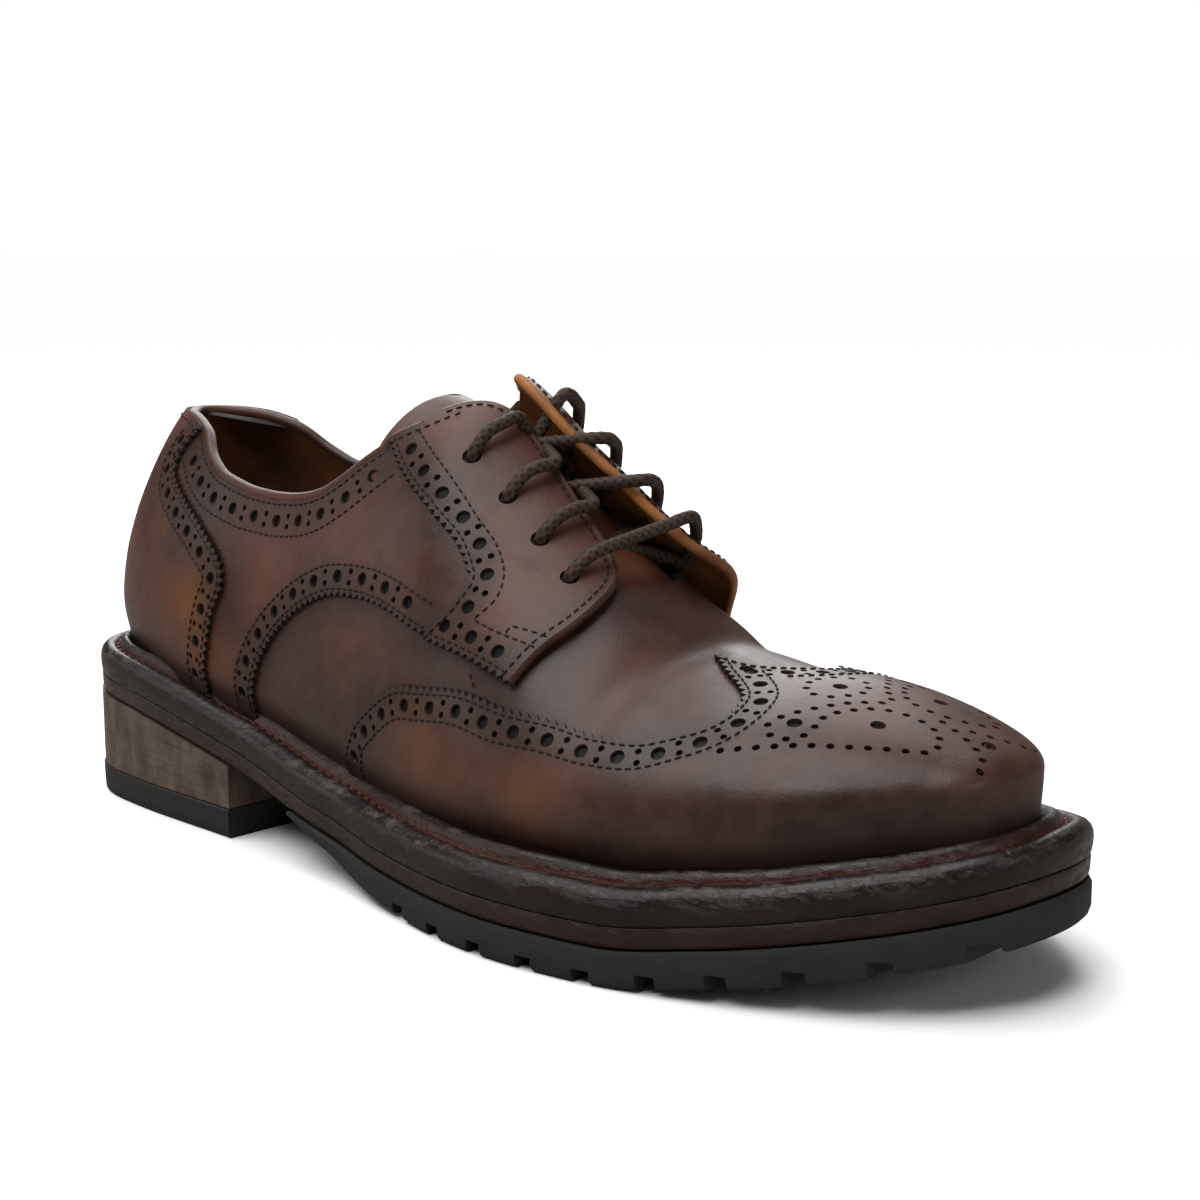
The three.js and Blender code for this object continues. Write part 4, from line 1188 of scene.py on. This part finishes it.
def smooth_step(value, low, high):
    """Smooth rise from 0 to 1 between two values"""
    t = np.clip((value - low) / (high - low), 0, 1)
    return t * t * (3 - 2 * t)


# Ochre patches where the cream is rubbed through: x, y, z, radius, strength
OCHRE = ((64, -33, 62, 9, 0.75), (70, -34, 50, 9, 0.6), (170, -47, 38, 12, 0.35),
         (206, -50, 34, 9, 0.55), (183, -47, 34, 10, 0.3))


def shade_with(bands, painted_shade_lines=()):
    """Function giving burnish with painted shade beside overlaid edges, band, painted hole shade and
    ochre amounts at places
    """
    def shade(chart, points):
        rise = points[:, 2] - welt_line(points[:, 0])
        burnish_and_shade = FOOT_BURNISH[0] * np.exp(-np.clip(rise, 0, None) / FOOT_BURNISH[1])
        band = np.zeros(len(chart))
        for line, width in bands:
            near = distance_to(folded(chart), line)
            left = 1 - smooth_step(near, width - BAND_FADE[0], width + BAND_FADE[1])
            band = np.maximum(band, BAND_TINT * left)
            burnish_and_shade = np.maximum(burnish_and_shade, EDGE_BURNISH[0] * np.exp(-near / EDGE_BURNISH[1]))
        # Painted shade: darker beside the edges of pieces laid over or next to this one
        for line, reach, amount in painted_shade_lines:
            near = distance_to(folded(chart), line)
            burnish_and_shade = np.maximum(burnish_and_shade, amount * np.exp(-(near / reach) ** 2))
        ochre = np.zeros(len(chart))
        for x, y, z, radius, strength in OCHRE:
            away = np.linalg.norm(points - (x, y, z), axis=1)
            ochre = np.maximum(ochre, strength * np.exp(-(away / radius) ** 2))
        return np.column_stack([burnish_and_shade, band, np.zeros(len(chart)), ochre])
    return shade


def folded(chart):
    """Places folded onto the outer side, where the paths lie"""
    return np.column_stack([chart[:, 0], -np.abs(chart[:, 1])])


def both(holes):
    """Holes and their mirror images"""
    return holes + [(mirror(place), radius, sides, depth) for place, radius, sides, depth in holes]


class Stitching:
    """Rods of the upper's stitches, gathered until they are made into one piece"""

    def __init__(self, sizes):
        self.pitch = sizes.stitch_pitch / MILLIMETRE
        self.radius = sizes.thread / MILLIMETRE / 2
        self.parts = []

    def sew(self, line, height, sides=(1, -1), lift=None):
        """Add a row of stitches, on both sides of the shoe if not told otherwise"""
        for side in sides:
            run = line if side > 0 else mirror(line)
            raised = height
            if lift:
                total = lengths(last(run))[-1]
                count = max(int(total / self.pitch), 1)
                middle = (np.arange(count) + 0.5) * total / count
                raised = height + lift(along(run, middle))
            self.parts.append(stitch_rods(run, raised, self.pitch, STITCH_SHOWS * self.pitch))

    def finish(self, name):
        """Make the gathered stitches into one piece"""
        joined = [np.concatenate([part[k] for part in self.parts]) for k in range(4)]
        points, faces = straight(joined, self.radius, 6)
        make(name, points, faces, [finish("thread")], tone=np.zeros((len(points), 4)),
             slot="calf")


def part(line, start, end):
    """Piece of a path between two lengths, negative ones from its far end"""
    total = lengths(last(line))[-1]
    start = start if start >= 0 else total + start
    end = end if end > 0 else total + end
    count = max(int((end - start) / 0.8), 2)
    return along(line, np.linspace(start, end, count))


def at_length(line, point):
    """Length along a path of its place nearest a point in space"""
    points = last(line)
    return lengths(points)[np.argmin(((points - point) ** 2).sum(1))]


def along_of(x):
    """First number on the map of a place along the last"""
    return math.acos(1 - 2 * (x - LAST_START) / (LAST_END - LAST_START)) * ALONG


def flap_lift(sizes):
    """How far the flaps stand off the last at their front edges"""
    def lift(chart):
        near = distance_to(folded(chart), path("front"))
        reach = np.abs(chart[:, 1])
        edge = np.exp(-(near / FLAP_REACH) ** 2) * (1 - smooth_step(reach, *FLAP_FADE))
        most = np.where(chart[:, 1] > 0, sizes.flap_lift / MILLIMETRE, OUTER_LIFT)
        return most * edge
    return lift


def eyelet_places():
    """Eyelets of the outer flap on the map"""
    return [np.array([along_of(at * LENGTH), -(1 - math.asin(up) * 2 / math.pi) * ROUND])
            for at, up in EYELETS]


# Half width of the floor, in metres, and strength of the surroundings as a light
FLOOR = 30.0
AMBIENT = 0.10
# The paper's colour, and its painted darker colour in reflections
PAPER, PAPER_MIRRORED = "#fcfcfb", "#8a857f"
# Name, kind, place or direction it comes from in metres, width or angle, power
LAMPS = (
    ("sky", "SUN", (-0.15, -0.25, 1.0), math.radians(60), 3.0),
    ("key", "AREA", (0.25, -1.0, 1.3), 0.45, 4.0),
    ("back", "AREA", (-0.80, 0.75, 0.80), 1.1, 14.0),
    ("side", "AREA", (1.3, 0.1, 0.6), 0.5, 2.0),
    ("left", "AREA", (-1.2, -0.8, 0.55), 0.6, 2.0),
)
# The photograph's view: angles round and above the shoe in degrees, distance and height of its
# middle in metres, and the lens with its shift
VIEW_ANGLES = (43.5, 11.8)
VIEW_DISTANCE = 0.531
VIEW_HEIGHT = 0.05
SENSOR, LENS = 36.0, 61.53
VIEW_SHIFT = (0.0675, 0.0633)
NEAREST = 0.02


class SHOE_OT_stage(bpy.types.Operator):
    """Pale floor, soft studio light and the camera"""
    bl_idname = "shoe.stage"
    bl_label = "Stage"

    def execute(self, context):
        floor = bpy.data.meshes.new("floor")
        corners = [(x * FLOOR, y * FLOOR, 0) for x, y in ((-1, -1), (1, -1), (1, 1), (-1, 1))]
        floor.from_pydata(corners, [], [(0, 1, 2, 3)])
        ground = bpy.data.objects.new("floor", floor)
        context.scene.collection.objects.link(ground)
        material, tree, place = blank("matt_paper")
        # Matt white paper without shine; its colour in reflections is a painted darker grey, standing
        # in for paper lit only near the shoe
        mirrored = add(tree, "ShaderNodeLightPath").outputs["Is Glossy Ray"]
        base = mix(tree, mirrored, colour(linear(PAPER)), colour(linear(PAPER_MIRRORED)))
        close(tree, base, 0.9, noise(tree, place, 3), 0.05, 0.1, Specular_IOR_Level=0.0)
        floor.materials.append(material)

        # White surroundings for the view, and dimmer ones for the light they give
        world = bpy.data.worlds.new("studio")
        world.use_nodes = True
        studio = world.node_tree
        seen = add(studio, "ShaderNodeLightPath").outputs["Is Camera Ray"]
        strength = sums(studio, (seen, 1.0 - AMBIENT), (1.0, AMBIENT))
        studio.links.new(strength, studio.nodes["Background"].inputs["Strength"])
        studio.nodes["Background"].inputs["Color"].default_value = (1, 1, 1, 1)
        context.scene.world = world
        context.scene.view_settings.view_transform = "Standard"
        for name, kind, place, width, power in LAMPS:
            light = bpy.data.lights.new(name, kind)
            light.energy = power
            if kind == "SUN":
                light.angle = width
            else:
                light.shape, light.size = "SQUARE", width
            lamp = bpy.data.objects.new(name, light)
            lamp.location = place
            lamp.visible_camera = False
            lamp.rotation_euler = (-Vector(place)).to_track_quat("-Z", "Y").to_euler()
            context.scene.collection.objects.link(lamp)

        azimuth, elevation = (math.radians(angle) for angle in VIEW_ANGLES)
        target = Vector((0.0, ORIGIN[1] * MILLIMETRE, VIEW_HEIGHT))
        back = Vector((math.sin(azimuth) * math.cos(elevation),
                       -math.cos(azimuth) * math.cos(elevation), math.sin(elevation)))
        data = bpy.data.cameras.new("camera")
        data.sensor_width, data.lens = SENSOR, LENS
        data.shift_x, data.shift_y = VIEW_SHIFT
        data.clip_start = NEAREST
        camera = bpy.data.objects.new("camera", data)
        camera.matrix_world = (Matrix.Translation(target + back * VIEW_DISTANCE)
                               @ (-back).to_track_quat("-Z", "Y").to_matrix().to_4x4())
        context.scene.collection.objects.link(camera)
        context.scene.camera = camera
        return {"FINISHED"}


class SHOE_OT_sole(bpy.types.Operator):
    """Heel, half sole, midsole, welt and inner sock"""
    bl_idname = "shoe.sole"
    bl_label = "Sole"

    def execute(self, context):
        ahead = box(HEEL_LENGTH, LENGTH + FAR)
        lift_rows = [(inset, lambda x, y, up=up: 0 * x + up) for inset, up in LIFT_ROWS]
        lift = sweep("top_lift", lift_rows, [finish("rubber")], count=COARSE_RING,
                     slot="rubber", replaced=("heel_top_lift",))
        carve(lift, [ahead])

        def layer(share):
            """Height of a place in the stack, between the lift and the midsole"""
            low = LIFT + GAP
            return lambda x, y: low + (midsole_under(x) - GAP - low) * share

        stack_rows = [(0.5, layer(0.0))]
        for k in range(1, STACK_LAYERS):
            middle = k / STACK_LAYERS
            stack_rows += [(0.4, layer(middle - JOINT_HALF)), (0.58, layer(middle)),
                           (0.42, layer(middle + JOINT_HALF))]
        stack_rows.append((0.4, layer(1.0)))
        stack = sweep("stacked_heel", stack_rows, [finish("stack")], count=COARSE_RING,
                      slot="stack", replaced=("heel_stack",))
        carve(stack, [ahead])

        tread = (
            (1.4, lambda x, y: tread_under(x)),
            (0.5, lambda x, y: tread_under(x) + 0.08 * rubber_depth(x)),
            (0.0, lambda x, y: tread_under(x) + 0.25 * rubber_depth(x)),
            (0.1, lambda x, y: midsole_under(x) - GAP - 0.15 * rubber_depth(x)),
            (0.8, lambda x, y: midsole_under(x) - GAP),
        )
        sole = sweep("lugged_half_sole", tread, [finish("rubber")], count=TREAD_RING,
                     slot="rubber", replaced=("half_sole",))
        cutters = [box(-FAR, RUBBER_PROFILE[0][0] * LENGTH)]
        for station in range(LUG_COUNT):
            x = LUG_START + station * LUG_PITCH
            half = math.sqrt(x / LENGTH * (1 - x / LENGTH)) * float(sole_round(x / LENGTH))
            centre = float(sole_centre(x / LENGTH))
            inner = max(half - NOTCH_LENGTH, NOTCH_SHARE * half)
            cutters.append(groove(x, -BALL_WIDTH, centre - inner))
            cutters.append(groove(x, centre + inner, BALL_WIDTH))
            if station < LUG_COUNT - 1:
                cutters.append(groove(x + LUG_PITCH / 2, centre - inner / 2, centre + inner / 2))
        carve(sole, cutters)

        sweep("midsole_edge", [(inset, lambda x, y, up=up: midsole_under(x) + up)
                               for inset, up in MIDSOLE_ROWS],
              [finish("midsole")], slot="midsole", replaced=("midsole",))

        def welt_tone(i, x, y, turn):
            """Red of the groove, and wear in patches that grow toward the toe"""
            patch = 0.65 + sum(size * np.sin(times * turn + phase)
                               for size, times, phase in WORN_PATCHES)
            toe = smooth_step(x, 200, 300) * 0.3
            _, _, worn, red = WELT_ROWS[i]
            return np.column_stack([np.full_like(x, red), worn * np.clip(patch + toe, 0, 1),
                                    0 * x, 0 * x])

        def welt_row(up):
            """Height of a row, a little uneven on the parts that show"""
            return lambda x, y: seat(x) + up + 0.12 * np.sin(x / 7 + y / 5) * (up > 1)

        sweep("welt_strip", [(inset, welt_row(up)) for inset, up, _, _ in WELT_ROWS],
              [finish("welt")], tone_of=welt_tone, count=WELT_RING, ring=True, slot="welt",
              replaced=("welt",), sharp=70)

        x, y, _ = sole_ring(WELT_STITCH_INSET, STITCH_RING)
        line = np.column_stack([x, y, seat(x) + WELT_STITCH_HEIGHT])
        line = np.vstack([line, line[:1]])
        line = resample(line, line, WELT_STITCH_PITCH / 2)
        starts, ends = line[:-2:2], line[1:-1:2] * 0.92 + line[2::2] * 0.08
        count = min(len(starts), len(ends))
        starts, ends = starts[:count], ends[:count]
        forward = ends - starts
        size = np.linalg.norm(forward, axis=1)
        outward = np.tile((0.0, 0.0, 1.0), (count, 1))
        rods = ((starts + ends) / 2, forward / size[:, None], outward, size * 0.62)
        points, faces = straight(rods, WELT_THREAD / 2, 8)
        make("welt_stitching", points, faces, [finish("welt_thread")],
             tone=np.full((len(points), 4), 0.4), slot="welt")

        sweep("sock", [(inset, lambda x, y, up=up: seat(x) + up) for inset, up in SOCK_ROWS],
              [finish("sock")], count=COARSE_RING, plan=sock_ring, slot="lining",
              replaced=("insole",))
        return {"FINISHED"}


class SHOE_OT_upper(bpy.types.Operator):
    """Vamp and lining, quarters, wing cap, counter and facings"""
    bl_idname = "shoe.upper"
    bl_label = "Upper"

    def roll_edges(self, top, front, lift):
        """Folded and rolled edge of the collar, and of the flaps"""
        collar = top[top[:, 0] < front[-1, 0] - 3]
        ring = np.vstack([mirror(collar)[::-1], collar[1:]])
        height = np.where(ring[:, 0] < along_of(131), -0.2, 0.9)
        line = form(ring, height + lift(ring))
        points, faces, tone = tube(resample(line, line, ROLL_STEP), COLLAR_ROLL, ROLL_SIDES, plain)
        make("collar_roll", points, faces, [finish("quarter")], tone=tone * [0.4, 0, 0, 0],
             slot="calf", sharp=80)
        for name, edge in (("flap_roll_outer", front), ("flap_roll_inner", mirror(front))):
            line = form(edge, 1.35 + lift(edge))
            points, faces, tone = tube(resample(line, line, ROLL_STEP), FLAP_ROLL, ROLL_SIDES,
                                       plain)
            skin = "quarter" if name == "flap_roll_outer" else "flap_lining"
            make(name, points, faces, [finish(skin)], tone=tone * [0.4, 0, 0, 0],
                 slot="calf", sharp=80)

    def execute(self, context):
        sizes = context.scene.shoe_sizes
        pitch, depth = sizes.tooth_pitch / MILLIMETRE, sizes.tooth_depth / MILLIMETRE
        outside = [finish("vamp"), finish("edge"), finish("lining")]
        quarter_skin = [finish("quarter"), finish("edge"), finish("flap_lining")]
        top, front, arch, rear = path("top"), path("front"), path("arch"), path("rear")
        wing, far, counter = path("wing"), path("wing_far"), path("counter")
        heel = heel_line(top[0, 1])

        slot = 25.0
        short = top[top[:, 1] < -slot - 0.5]
        root = [(along_of(188), -slot), (along_of(195), -slot + 6), (along_of(199), -slot + 16),
                (along_of(200), 0.0)]
        side = curve([(short[-1, 0] + 3, -slot), (along_of(165), -slot), *root], 2.0)
        half = np.vstack([short, side])
        tip_rise = np.linspace(FOOT_ROW, -FOOT_ROW, 60)
        tip = np.column_stack([np.full(60, TIP), tip_rise])
        foot = foot_line(0, TIP)
        loop = np.vstack([foot, tip[1:], mirror(foot)[::-1][1:], mirror(heel)[1:],
                          mirror(half)[1:], half[::-1][1:], heel[::-1][1:-1]])
        # Painted shade on the vamp beside the edges of the wing cap, facings and quarters, and under
        # the flaps' lifted front edges
        shade = shade_with([], [(wing, 7, 0.35), (rear, 10, 0.25), (arch, 6, 0.5), (front, 9, 0.5)])
        leather_sheet("vamp_and_lining", [loop], [], -LINED, 0.0, outside, shade, spacing=2.6,
                      slot="calf", replaced=("upper",))

        foot_arch = foot_line(0, arch[0, 0])
        edge = pinked(arch, pitch, depth)
        body = top[top[:, 0] < front[-1, 0] - 2.5]
        outer = np.vstack([foot_arch, edge, front[1:], body[::-1], heel[::-1][1:-1]])
        meets = at_length(arch, ARCH_MEETS)
        holes = punched(parallel(part(arch, 4, meets), BAND_MIDDLE), sizes)
        collar = part(top, at_length(top, COUNTER_TOP) + 2, at_length(top, FACING_TOP) - 2)
        holes += punched(parallel(collar, -COLLAR_HOLES), sizes)
        lift = flap_lift(sizes)
        # Painted shade on the quarters beside the edges of the counter cover and facings
        shade = shade_with([(arch, BAND_FAR), (collar, COLLAR_BAND)],
                           [(counter, 9, 0.4), (rear, 6, 0.3)])
        leather_sheet("quarters", [outer, mirror(outer)[::-1]], both(holes), HAIR, QUARTER_TOP,
                      quarter_skin, shade, spacing=2.6, lift=lift, slot="calf")

        edge = pinked(counter, pitch, depth)
        back = top[top[:, 0] < counter[-1, 0] - 1.0]
        outer = np.vstack([foot_line(0, counter[0, 0]), edge, back[::-1], heel[::-1][1:-1]])
        holes = punched(parallel(part(counter, 5, -3), BAND_MIDDLE), sizes)
        shade = shade_with([(counter, BAND_FAR)])
        leather_sheet("counter_cover", [outer, mirror(outer)[::-1]], both(holes), QUARTER_TOP,
                      OVERLAY_TOP, quarter_skin, shade, spacing=2.4,
                      slot="counter", replaced=("counter",))

        rear_edge = pinked(rear, pitch, depth)
        low = parallel(part(arch, at_length(arch, FACING_MEETS) + 1, -0.5), -0.7)
        low_edge = pinked(low, pitch, depth)
        crown = top[(top[:, 0] > rear[0, 0] + 1.5) & (top[:, 0] < front[-1, 0] - 2.0)]
        rim = parallel(front, -0.35)
        outer = np.vstack([rear_edge, low_edge[1:], rim[1:], crown[::-1]])
        total = lengths(last(rear))[-1]
        holes = punched(parallel(part(rear, 3, total - 9), BAND_MIDDLE), sizes)
        holes += punched(parallel(part(low, 1.5, -2), BAND_MIDDLE), sizes)
        holes += [(place, EYELET_RADIUS, BIG_SIDES, EYELET_DEPTH) for place in eyelet_places()]
        # Painted shade on the facings along their front edges, by the rolled edge
        shade = shade_with([(rear, BAND_FAR), (low, BAND_FAR)], [(front, 2.5, 0.4)])
        for name, loops, cuts, node in (
                ("facing_cover_outer", [outer], holes, "facing_outer"),
                ("facing_cover_inner", [mirror(outer)[::-1]], both(holes)[len(holes):],
                 "facing_inner")):
            leather_sheet(name, loops, cuts, QUARTER_TOP, OVERLAY_TOP, quarter_skin, shade,
                          spacing=2.2, lift=lift, slot="calf", replaced=(node,))

        self.roll_edges(top, front, lift)
        edge = pinked(wing[::-1], pitch, depth)
        inner_edge = mirror(edge)[::-1]
        inner_edge = inner_edge[inner_edge[:, 1] > far[-1, 1] + 1.5]
        loop = np.vstack([edge, foot_line(wing[0, 0], TIP)[1:], tip[1:],
                          mirror(foot_line(wing[0, 0], TIP))[::-1][1:], inner_edge[1:],
                          pinked(far[::-1], pitch, depth)[:-1]])
        holes = punched(parallel(part(wing, 4, -5), -BAND_MIDDLE), sizes)
        inner_holes = [(mirror(place), r, n, d) for place, r, n, d in holes
                       if -place[1] > far[-1, 1] + 4]
        holes += inner_holes + punched(parallel(part(far, 7, -1), -BAND_MIDDLE), sizes)
        holes += ornament_holes(sizes)
        shade = shade_with([(wing, BAND_FAR)])
        leather_sheet("wing_cap", [loop], holes, HAIR, QUARTER_TOP, outside, shade, spacing=2.6,
                      slot="cap", replaced=("toe_cap",))
        return {"FINISHED"}


def plain(run, turn):
    """Crown of a cord without strands"""
    return np.full(len(turn), 0.7)


def ornament_holes(sizes):
    """Punched scrolls on the toe, the same on both sides of its axis"""
    def spot(x, off):
        axis = -1.5 + 5.0 * (x - 250) / 50
        height = welt_line(x) + ridge_height(x) * (0.9 if x < 285 else 0.75)
        return (x, axis + off, height)

    holes = []
    small = sizes.small_hole / MILLIMETRE * 0.55
    for line in (ORNAMENT_SCROLL, ORNAMENT_TIP, ORNAMENT_HEART):
        for side in (-1, 1):
            points = np.array([spot(x, side * off) for x, off in line])
            track = seam(points)
            total = lengths(last(track))[-1]
            count = int(round(total / ORNAMENT_PITCH))
            for place in along(track, np.linspace(0, total, count + 1)):
                holes.append((place, small, SMALL_SIDES, HOLE_DEPTH))
    for x, off in ORNAMENT_HOLES:
        for side in (-1, 1) if off > 5 else (1,):
            place = locate([spot(x, side * off)])[0]
            holes.append((place, sizes.big_hole / MILLIMETRE / 2, BIG_SIDES, HOLE_DEPTH))
    kept = []
    for hole in holes:
        away = [np.linalg.norm(last(hole[0][None]) - last(other[0][None])) - hole[1] - other[1]
                for other in kept]
        if min(away, default=9) > 0.7:
            kept.append(hole)
    return kept


class SHOE_OT_tongue(bpy.types.Operator):
    """Tongue under the flaps"""
    bl_idname = "shoe.tongue"
    bl_label = "Tongue"

    def execute(self, context):
        crown = curve(locate([(127, -27, 104), (127.5, -20, 110), (130, -12, 116),
                              (133, -5, 119.5), (134, 2, 121)]), 2.0)
        side = curve([(crown[0, 0] + 3, crown[0, 1] - 1.5), (along_of(160), -30),
                      (along_of(190), -28), (along_of(206), -16), (along_of(208), 0.0)], 2.0)
        half = np.vstack([crown[::-1], side])
        loop = np.vstack([half, mirror(half)[::-1][1:-1]])
        skin = [finish("quarter"), finish("edge"), finish("lining")]

        def rising(chart):
            """The leaf's free end stands up to the collar"""
            return TONGUE_RISE * (1 - smooth_step(chart[:, 0], along_of(130), along_of(152)))

        leather_sheet("tongue_leaf", [loop], [], TONGUE_LOW, TONGUE_HIGH, skin, shade_with([]),
                      spacing=2.6, lift=rising, slot="tongue", replaced=("tongue",))
        return {"FINISHED"}


class SHOE_OT_stitching(bpy.types.Operator):
    """Thread of every seam of the upper"""
    bl_idname = "shoe.stitching"
    bl_label = "Stitching"

    def execute(self, context):
        sizes = context.scene.shoe_sizes
        top, front, arch, rear = path("top"), path("front"), path("arch"), path("rear")
        wing, far, counter = path("wing"), path("wing_far"), path("counter")
        lift = flap_lift(sizes)
        work = Stitching(sizes)
        quarter, overlay = QUARTER_TOP + STITCH_RISE, OVERLAY_TOP + STITCH_RISE
        meets = at_length(arch, (160, -41, 68))
        start = at_length(top, COUNTER_TOP)
        end = at_length(top, (132, -22, 110))
        work.sew(parallel(part(arch, 3, -1), BAND_NEAR), quarter)
        work.sew(parallel(part(arch, 3, meets + 2), BAND_FAR), quarter)
        work.sew(parallel(part(top, start + 1, end), -COLLAR_BAND), quarter)
        work.sew(parallel(part(top, start, end), -COLLAR_STITCH), quarter)
        work.sew(parallel(part(top, 0, start), -COLLAR_STITCH), overlay)
        work.sew(parallel(part(counter, 3, -1), BAND_NEAR), overlay)
        work.sew(parallel(part(counter, 3, -5), BAND_FAR), overlay)
        work.sew(parallel(rear, BAND_NEAR), overlay, lift=lift)
        work.sew(path("facing_seam"), overlay, lift=lift)
        low = part(arch, at_length(arch, (163, -41, 67)), -1)
        work.sew(parallel(low, 1.4), overlay, lift=lift)
        work.sew(seam([(178, -38, 72), (186, -38, 70), (196, -36, 67)]), overlay,
                 lift=lift)
        work.sew(seam([(188, -36, 71.5), (197, -33, 69)]), overlay, lift=lift)
        work.sew(seam([(188, -36, 71.5), (187.5, -37.5, 69.5)]), overlay, lift=lift)
        work.sew(parallel(front, 1.6), overlay, lift=lift)
        crown = part(top, end, at_length(top, (146, -10, 117)))
        work.sew(parallel(crown, -COLLAR_STITCH), overlay, lift=lift)
        work.sew(parallel(part(wing, 2, -3), -BAND_NEAR), quarter, sides=(1,))
        work.sew(parallel(part(wing, 2, -12), -BAND_FAR), quarter, sides=(1,))
        inner = mirror(wing)
        inner = inner[inner[:, 1] > far[-1, 1] + 1]
        work.sew(parallel(inner, BAND_NEAR), quarter, sides=(1,))
        work.sew(parallel(inner, BAND_FAR), quarter, sides=(1,))
        work.sew(parallel(part(far, 3, -0.5), -BAND_NEAR), quarter, sides=(1,))
        work.sew(parallel(part(far, 16, -0.5), -BAND_FAR), quarter, sides=(1,))
        work.sew(seam([(180, -43, 61), (183, -45, 58)]), STITCH_RISE)
        work.finish("upper_stitching")
        return {"FINISHED"}


class SHOE_OT_lace(bpy.types.Operator):
    """Braided lace through the eight eyelets"""
    bl_idname = "shoe.lace"
    bl_label = "Lace"

    def execute(self, context):
        sizes = context.scene.shoe_sizes
        radius = sizes.lace / MILLIMETRE / 2
        lift = flap_lift(sizes)
        eyes = eyelet_places()

        def at(side, x, reach, height, follow=True):
            chart = np.array([[along_of(x), side * reach]])
            raised = lift(chart)[0] if follow else 0.0
            return form(chart, height + raised)[0]

        def through(side, row, out):
            """Points of the lace in an eyelet, going out or in"""
            x, reach = EYELETS[row][0] * LENGTH, abs(eyes[row][1])
            run = [at(side, x, reach + 1.5, -2.6), at(side, x, reach, 0.6),
                   at(side, x, reach - 1.2, OVERLAY_TOP + 0.8),
                   at(side, x + 0.3, reach - 5.5, OVERLAY_TOP + radius + 1.4)]
            return run if out else run[::-1]

        def over_edge(side, row):
            """From an eyelet over its flap's edge and down to the gap"""
            x = EYELETS[row][0] * LENGTH
            return [at(side, x + 1.0, 10.5, OVERLAY_TOP + radius + 1.9),
                    at(side, x + 1.2, 5.0, OVERLAY_TOP + radius + 1.0)]

        def under(side, row):
            """From the gap under the far flap to the next eyelet up"""
            x = EYELETS[row][0] * LENGTH
            return [at(side, x + 5, 2.0, 0.9, False), at(side, x + 3, 9.0, -0.2, False),
                    at(side, x + 1, 15.0, -0.8, False)]

        def strand(first_side):
            """One half of the lace from the bottom bar up to the top eyelets"""
            side, points = first_side, []
            points += through(side, 3, False)
            x = EYELETS[3][0] * LENGTH
            points.append(at(side, x - 3, 16, -1.6, False))
            points.append(at(-side, x - 7, 12, -1.6, False))
            for row in (2, 1, 0):
                side = -side
                points += through(side, row, True) + over_edge(side, row)
                if row:
                    points += under(-side, row - 1)
                else:
                    end = EYELETS[0][0] * LENGTH
                    points += [at(side, end + 4, 0.5, 1.6, False),
                               at(-side, end + 6, 6.0, -0.6, False),
                               at(-side, end + 7, 13.0, -1.2, False)]
            return points

        x = EYELETS[3][0] * LENGTH
        bar = [at(-1, x + 1, 12, OVERLAY_TOP + radius + 2.4), at(-1, x + 1.5, 4, 8.2, False),
               at(1, x + 1.5, 4, 10.5, False), at(1, x + 1, 11, OVERLAY_TOP + radius + 2.2)]
        dense = curve(strand(-1)[::-1] + bar + strand(1), LACE_STEP)

        def braid(run, turn):
            """Crowns of two sets of strands that wind opposite ways"""
            wound = run * 2 * np.pi / STRAND_PITCH
            return np.clip(np.maximum(np.cos(4 * turn + wound), np.cos(4 * turn - wound)), 0, 1)

        # The braid's crowns give relief, and through the tone a painted highlight on crowns and
        # painted shade in valleys
        points, faces, tone = tube(dense, radius, LACE_SIDES, braid)
        make("braided_lace", points, faces, [finish("lace")], tone=tone, slot="lace", sharp=80,
             replaced=("lace_row_1", "lace_row_2", "lace_row_3", "lace_row_4"))
        return {"FINISHED"}


class SHOE_PT_panel(bpy.types.Panel):
    """Sizes, colours and steps of the shoe"""
    bl_idname = "SHOE_PT_panel"
    bl_label = "Shoe"
    bl_space_type = "VIEW_3D"
    bl_region_type = "UI"
    bl_category = "Shoe"

    def draw(self, context):
        for group in (context.scene.shoe_sizes, context.scene.shoe_colours):
            box = self.layout.box()
            for name in group.bl_rna.properties.keys():
                if name not in ("rna_type", "name"):
                    box.prop(group, name)
        for operator in STEPS:
            self.layout.operator(operator.bl_idname)


STEPS = (SHOE_OT_stage, SHOE_OT_sole, SHOE_OT_upper, SHOE_OT_tongue, SHOE_OT_stitching,
         SHOE_OT_lace)
CLASSES = (ShoeSizes, ShoeColours, *STEPS, SHOE_PT_panel)


def register():
    for one in CLASSES:
        bpy.utils.register_class(one)
    bpy.types.Scene.shoe_sizes = bpy.props.PointerProperty(type=ShoeSizes)
    bpy.types.Scene.shoe_colours = bpy.props.PointerProperty(type=ShoeColours)


def unregister():
    del bpy.types.Scene.shoe_colours
    del bpy.types.Scene.shoe_sizes
    for one in reversed(CLASSES):
        bpy.utils.unregister_class(one)


def main():
    """Build every piece in order"""
    register()
    bpy.ops.shoe.stage()
    bpy.ops.shoe.sole()
    bpy.ops.shoe.upper()
    bpy.ops.shoe.tongue()
    bpy.ops.shoe.stitching()
    bpy.ops.shoe.lace()
    bpy.context.view_layer.update()


if __name__ == "__main__":
    main()
